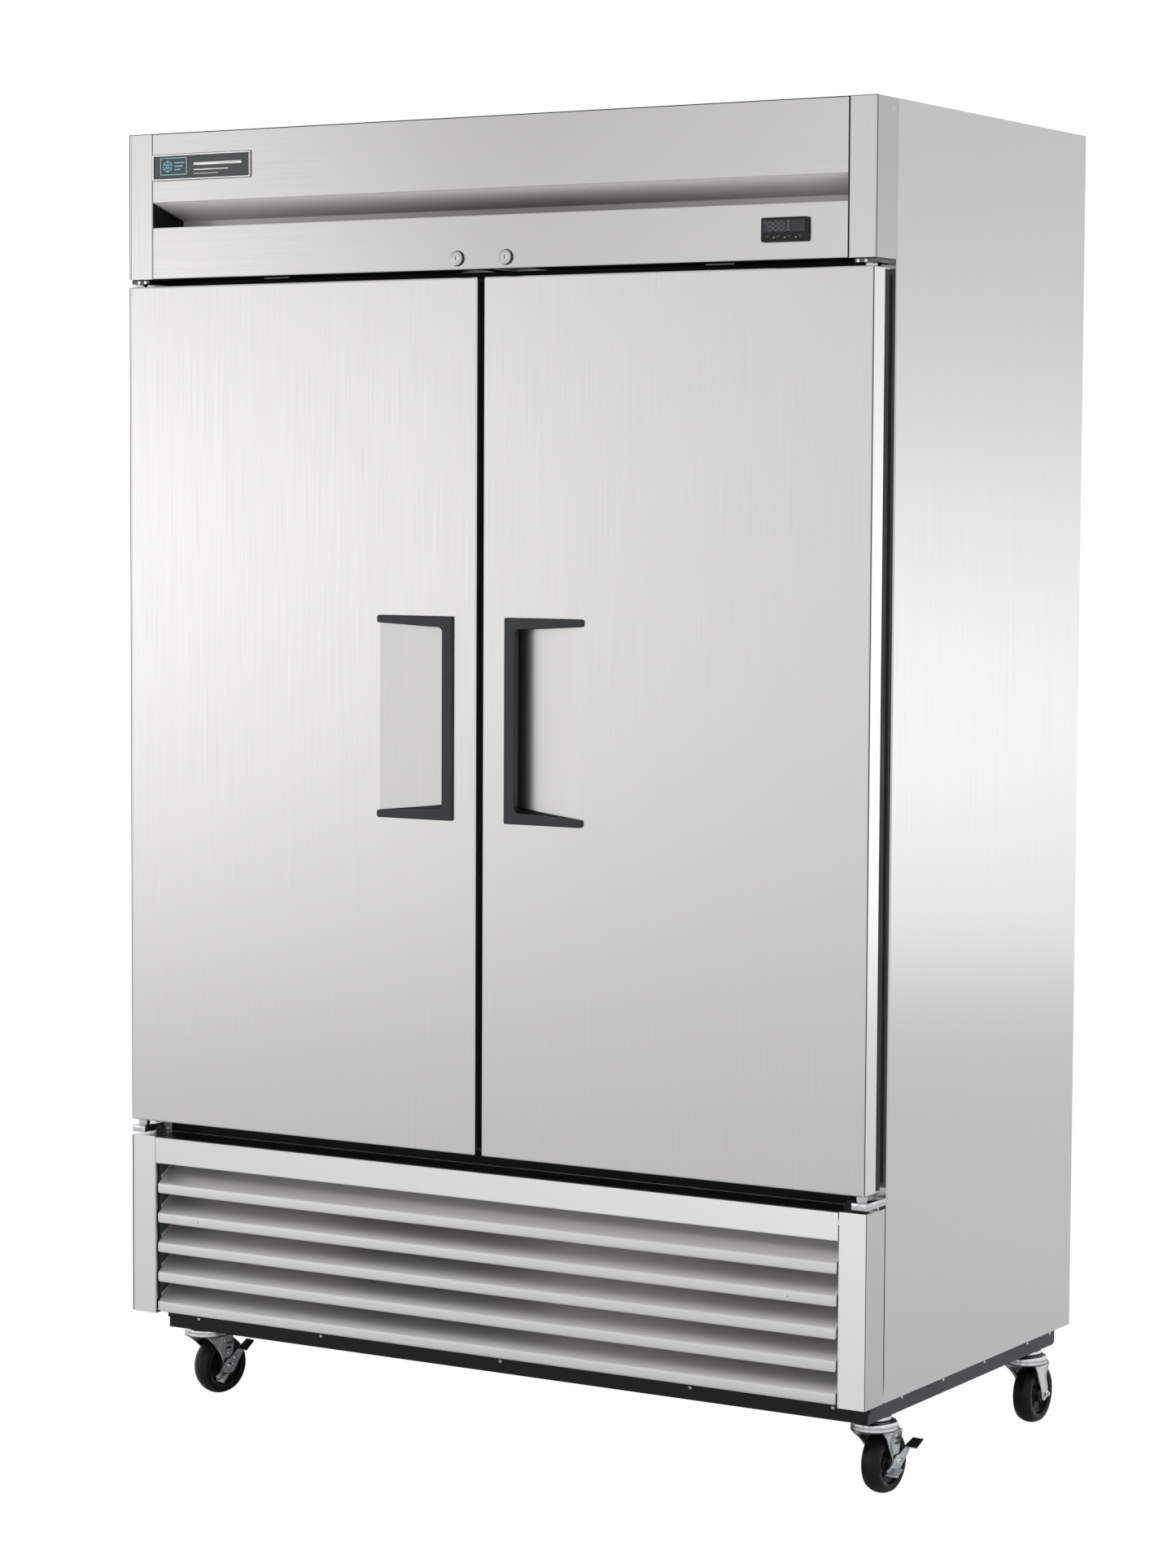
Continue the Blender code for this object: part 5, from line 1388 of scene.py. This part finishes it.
def compressor():
    low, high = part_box("compressor")
    x, y = (low.x + high.x) / 2, (low.y + high.y) / 2
    floor = low.z
    shell = Shape()
    profile = [(0, 0.2245)] + arc((0.030, 0.1645), 0.060, 90, 8, 10)
    profile += [(0.0915, 0.165), (0.0920, 0.130), (0.0945, 0.1285), (0.0945, 0.1225), (0.0920, 0.121)]
    profile.append((0.0920, 0.070))
    profile += arc((0.072, 0.060), 0.020, 20, -70, 6) + [(0.060, 0.034), (0, 0.034)]
    shell.lathe(profile, (x, y, floor), Z, 56)
    shell.box((x - 0.100, y - 0.080, floor + 0.024), (x + 0.100, y + 0.080, floor + 0.0275), 0.0012)
    shell.box((x - 0.1040, y - 0.030, floor + 0.100), (x - 0.088, y + 0.030, floor + 0.160), 0.004)
    shell.piece("compressor_shell", "cabinet", COMPRESSOR_PAINT, "compressor_black", ["compressor"])
    feet = Shape()
    grommet = [(0, 0.030), (0.009, 0.030), (0.010, 0.026), (0.0125, 0.020), (0.0110, 0.012)]
    grommet += [(0.0125, 0.004), (0.0125, 0), (0, 0)]
    for sx in (-1, 1):
        for sy in (-1, 1):
            feet.lathe(grommet, (x + sx * 0.086, y + sy * 0.066, floor), Z, 20)
    feet.piece("compressor_grommets", "cabinet", TYRE_RUBBER, "tread_rubber")
    coil_low, coil_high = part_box("condenser_coil")
    left, right, front = coil_low.x - 0.030, coil_high.x, coil_low.y
    discharge = [(x - 0.070, y - 0.055, 0.140), (x - 0.090, y - 0.085, 0.150), (x - 0.150, y - 0.130, 0.165)]
    discharge += [(x - 0.220, y - 0.200, 0.180), (right + 0.030, front + 0.060, 0.205)]
    discharge += [(right + 0.012, front + 0.030, 0.2170), (right + 0.004, front + 0.016, 0.2170)]
    suction = [(x + 0.060, y + 0.062, 0.150), (x + 0.085, y + 0.100, 0.170), (x + 0.090, y + 0.140, 0.210)]
    suction += [(x + 0.090, y + 0.160, 0.250), (x + 0.090, y + 0.165, 0.292)]
    liquid = [(left + 0.026, front + 0.040, 0.032), (left + 0.005, front + 0.070, 0.032)]
    liquid += [(left, front + 0.180, 0.040), (left, 0.080, 0.060), (left, 0.130, 0.120), (left, 0.150, 0.292)]
    drier = [(left, 0.020, 0.0515), (left, 0.070, 0.058)]
    paths = [[(u, v, floor + up) for u, v, up in path] for path in (discharge, liquid, suction, drier)]
    groups = [(0.0042, 10, [smooth(paths[0]), smooth(paths[1])]), (0.0060, 10, [smooth(paths[2])])]
    groups.append((0.0110, 16, [paths[3]]))
    wires("refrigerant_tubes", "cabinet", COPPER, groups, "coil_fins")
    pan = Shape()
    outer = round_rect(0.060, 0.180, -0.020, 0.260, 0.012, 4)
    inner = round_rect(0.063, 0.177, -0.017, 0.257, 0.010, 4)
    levels = ((outer, 0.001), (outer, 0.045), (inner, 0.045), (inner, 0.004))
    loops = [[pan.vert((u, v, floor + up)) for u, v in ring] for ring, up in levels]
    pan.skin(loops)
    pan.bm.faces.new(loops[0][::-1])
    pan.bm.faces.new(loops[-1])
    pan.piece("condensate_pan", "cabinet", PALE_PLASTIC, "grey_door_liner")
    box = Shape()
    box.box((-0.560, -0.060, floor + 0.001), (-0.440, 0.080, floor + 0.085), 0.003)
    box.box((-0.552, -0.0625, floor + 0.008), (-0.448, -0.0600, floor + 0.078), 0.001)
    box.piece("electrical_box", "cabinet", GALVANISED, "galvanised")


def smooth(points, steps=6):
    """Points on a Catmull-Rom curve through the given points."""
    points = [Vector(p) for p in points]
    padded = [points[0] * 2 - points[1]] + points + [points[-1] * 2 - points[-2]]
    made = []
    for a, b, c, d in zip(padded, padded[1:], padded[2:], padded[3:]):
        for i in range(steps):
            t = i / steps
            square, cube = (2 * a - 5 * b + 4 * c - d) * t * t, (3 * b - 3 * c + d - a) * t ** 3
            made.append(0.5 * (2 * b + (c - a) * t + square + cube))
    return made + [points[-1]]


def base_details():
    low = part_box("base_frame")[0]
    bolts = Shape()
    rail = 0.6605
    for side in SIDES.values():
        for y in (-0.285, -0.195, -0.05, 0.10, 0.264, 0.352):
            bolts.screw((side * rail, y, 0.149), X * side, 0.0032, 0.0012)
    for x in (-0.60, -0.35, 0.0, 0.35, 0.60):
        bolts.screw((x, low.y, 0.148), -Y, 0.0030, 0.0012)
    bolt = [(0, 0.0052), (0.0048, 0.0052), (0.0058, 0.0044), (0.0058, 0)]
    for name in CASTORS:
        x, y, _ = JOINTS[f"castor_{name}_swivel"]["pos_m"]
        for inward in (0.034, 0.04012):
            for along in (-0.040, 0.040):
                bolts.lathe(bolt, (x - math.copysign(inward, x), y + along, low.z), -Z, 6)
    bolts.piece("base_bolts", "cabinet", CHROME, "zinc_plate")
    corner = Shape()
    for side in SIDES.values():
        corner.box((side * 0.6605, low.y, 0.1530), (side * 0.6680, low.y + 0.050, 0.1600), 0.0008)
        corner.box((side * 0.6605, low.y, 0.1450), (side * 0.6640, low.y + 0.030, 0.1530), 0.0006)
    corner.piece("base_corner_brackets", "cabinet", BLACK_FRAME, "black_frame")


# ---------------------------------------------------------------- rear and top


def rear_details():
    low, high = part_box("rear_panel")
    back = REAR_Y
    guard, rim = [], Shape()
    for side in SIDES.values():
        x0, x1 = sorted((side * 0.060, side * 0.600))
        z0, z1 = 0.205, 0.425
        rows = 12
        for number in range(1, rows):
            z = z0 + (z1 - z0) * number / rows
            guard.append([(x0 - 0.004, back + 0.0016, z), (x1 + 0.004, back + 0.0016, z)])
        cols = 9
        for number in range(1, cols):
            x = x0 + (x1 - x0) * number / cols
            guard.append([(x, back + 0.0036, z0 - 0.004), (x, back + 0.0036, z1 + 0.004)])
        profile = [(0, back + 0.0002), (0, back + 0.0052), (0.010, back + 0.0052), (0.010, back + 0.0002)]
        rim.frame_ring(profile, (x0 - 0.012, x1 + 0.012, z0 - 0.012, z1 + 0.012), 0.004, 2)
    wires("rear_vent_guards", "cabinet", ZINC, [(0.0011, 6, guard)], "zinc_plate")
    rim.piece("rear_vent_frames", "cabinet", GALVANISED, "galvanised")
    screws = Shape()
    for side in SIDES.values():
        for number in range(10):
            z = low.z + 0.03 + number * (high.z - low.z - 0.06) / 9
            screws.screw((side * 0.6700, back, z), Y, 0.0042, 0.0018)
        for x in (0.075, 0.33, 0.585):
            for z in (0.1990, 0.4310):
                screws.screw((side * x, back + 0.0052, z), Y, 0.0036, 0.0014)
    for x in (-0.45, -0.15, 0.15, 0.45):
        screws.screw((x, back, high.z - 0.02), Y, 0.0042, 0.0018)
        screws.screw((x, back, 0.470), Y, 0.0042, 0.0018)
    screws.piece("rear_screws", "cabinet", CHROME, "zinc_plate")
    seams = Shape()
    seams.box((-0.672, back - 0.0002, 0.4560), (0.672, back + 0.0012, 0.4600), 0.0005)
    for side in SIDES.values():
        for x in (0.3300, 0.0):
            rib_high = (side * (x + 0.003), back + 0.0022, high.z - 0.05)
            seams.box((side * x, back - 0.0002, 0.520), rib_high, 0.0009)
    seams.piece("rear_ribs", "cabinet", GALVANISED, "galvanised")
    plate = Shape()
    plate.box((-0.46, back - 0.0001, 0.560), (-0.36, back + 0.0006, 0.630), 0.0002)
    plate.piece("rear_blank_plate", "cabinet", LINER_METAL, "aluminium_liner")
    gland = Shape()
    x, z = 0.642, 0.315
    dome = [(0.0072, 0.0098), (0.0100, 0.0098), (0.0128, 0.0085), (0.0134, 0.0060), (0.0138, 0.0)]
    nut = [(0.0138, 0), (0.0138, 0.0035), (0.0182, 0.0035), (0.0190, 0.0028), (0.0190, 0)]
    throat = [(0.0060, -0.002), (0.0072, -0.002), (0.0072, 0.0098), (0.0060, 0.0098)]
    gland.lathe(dome, (x, back, z), Y, 28)
    gland.lathe(nut, (x, back + 0.0002, z), Y, 6, True)
    gland.lathe(throat, (x, back, z), Y, 24, True)
    gland.piece("inlet_gland_nut", "cabinet", WALL_PLASTIC, "gloss_black_plastic")
    lid = Shape()
    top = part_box("top_panel")[1].z
    for side in SIDES.values():
        for number in range(6):
            y = -0.28 + number * 0.124
            lid.screw((side * 0.6760, y, top - 0.0004), Z, 0.0036, 0.0006, False)
    lid.piece("top_rivets", "cabinet", CHROME, "zinc_plate")


# ---------------------------------------------------------------- studio


def studio():
    floor = Shape()
    ring = arc((0, 0), 7.0, 0, 360, 96)[:-1]
    floor.bm.faces.new([floor.vert((u, v, 0)) for u, v in ring])
    mesh = bpy.data.meshes.new("studio_floor")
    floor.bm.to_mesh(mesh)
    recipe = Recipe("studio_floor_paint", (0.93, 0.93, 0.93), 0.9)
    cloud = recipe.noise(2.0)
    recipe.paint(recipe.tint(recipe.spread(cloud, 0, 0.2), (0.90, 0.90, 0.90)))
    white = recipe.tree.nodes.new("ShaderNodeEmission")
    seen = recipe.tree.nodes.new("ShaderNodeLightPath")
    mix = recipe.tree.nodes.new("ShaderNodeMixShader")
    recipe.link(seen.outputs["Is Camera Ray"], mix.inputs[0])
    recipe.link(recipe.shader.outputs[0], mix.inputs[1])
    recipe.link(white.outputs[0], mix.inputs[2])
    recipe.link(mix.outputs[0], recipe.tree.nodes["Material Output"].inputs["Surface"])
    mesh.materials.append(recipe.material)
    obj = bpy.data.objects.new("studio_floor", mesh)
    bpy.context.scene.collection.objects.link(obj)


def sky(base, lamps, seen):
    """Soft studio light all round: an even base and a few long, low glows, with plain white behind."""
    world = bpy.data.worlds.new("studio")
    bpy.context.scene.world = world
    world.use_nodes = True
    tree = world.node_tree
    tree.nodes.clear()
    make = tree.nodes.new
    way = make("ShaderNodeTexCoord").outputs["Generated"]
    parts = make("ShaderNodeSeparateXYZ")
    tree.links.new(way, parts.inputs[0])

    def maths(kind, a, b=None):
        node = make("ShaderNodeMath")
        node.operation = kind
        for socket, value in zip(node.inputs, (a, b)):
            if value is None:
                continue
            if isinstance(value, (int, float)):
                socket.default_value = value
            else:
                tree.links.new(value, socket)
        return node.outputs[0]

    total = None
    for direction, level, spread, power, gain in lamps:
        along = make("ShaderNodeVectorMath")
        along.operation = "DOT_PRODUCT"
        tree.links.new(way, along.inputs[0])
        along.inputs[1].default_value = Vector(direction).normalized()
        side = maths("POWER", maths("MAXIMUM", along.outputs["Value"], 0.0), power)
        height = maths("DIVIDE", maths("SUBTRACT", parts.outputs["Z"], level), spread)
        band = maths("POWER", math.e, maths("MULTIPLY", maths("MULTIPLY", height, height), -0.5))
        glow = maths("MULTIPLY", maths("MULTIPLY", side, band), gain)
        total = glow if total is None else maths("ADD", total, glow)
    level = maths("ADD", total, base)
    path = make("ShaderNodeLightPath")
    rest = maths("SUBTRACT", 1.0, path.outputs["Is Camera Ray"])
    around = maths("MULTIPLY", level, rest)
    behind = maths("MULTIPLY", path.outputs["Is Camera Ray"], seen)
    strength = maths("ADD", around, behind)
    background = make("ShaderNodeBackground")
    background.inputs["Color"].default_value = (1.0, 0.999, 0.999, 1)
    tree.links.new(strength, background.inputs["Strength"])
    output = make("ShaderNodeOutputWorld")
    tree.links.new(background.outputs[0], output.inputs[0])


def camera():
    """A long lens at eye height, 31 degrees to the right of the doors."""
    azimuth, elevation, roll = (math.radians(angle) for angle in (31.113, 4.136, 0.299))
    level = math.cos(elevation)
    back = Vector((math.sin(azimuth) * level, -math.cos(azimuth) * level, math.sin(elevation)))
    right = (-back).cross(Z).normalized()
    up = back.cross(right)
    turned_right = right * math.cos(roll) + up * math.sin(roll)
    turned_up = up * math.cos(roll) - right * math.sin(roll)
    lens = bpy.data.cameras.new("camera")
    lens.sensor_width = 36.0
    lens.lens = 89.47
    lens.clip_start, lens.clip_end = 0.1, 100
    obj = bpy.data.objects.new("camera", lens)
    axes = Matrix((turned_right, turned_up, back)).transposed().to_4x4()
    obj.matrix_world = Matrix.Translation((3.3002, -5.5143, 1.5211)) @ axes
    bpy.context.scene.collection.objects.link(obj)
    bpy.context.scene.camera = obj


camera()
studio()
sky(
    0.86,
    [
        ((-0.682, -0.731, 0.0), -0.012, 0.062, 60.0, 1.75),
        ((0.50, 0.866, 0.0), -0.059, 0.052, 40.0, 1.12),
        ((-0.75, 0.66, 0.0), -0.02, 0.07, 8.0, 0.8),
        ((-0.22, -0.975, 0.0), -0.05, 0.08, 130.0, 1.45),
    ],
    1.0,
)
bpy.context.scene.view_settings.view_transform = "Standard"

build_castors()
build_grille()
header_details()
door_details()
hinge_details()
build_inside()
condenser()
fan_blades("condenser_fan", 5)
for fan_side in SIDES:
    fan_blades(f"evaporator_fan_{fan_side}", 4)
compressor()
base_details()
rear_details()
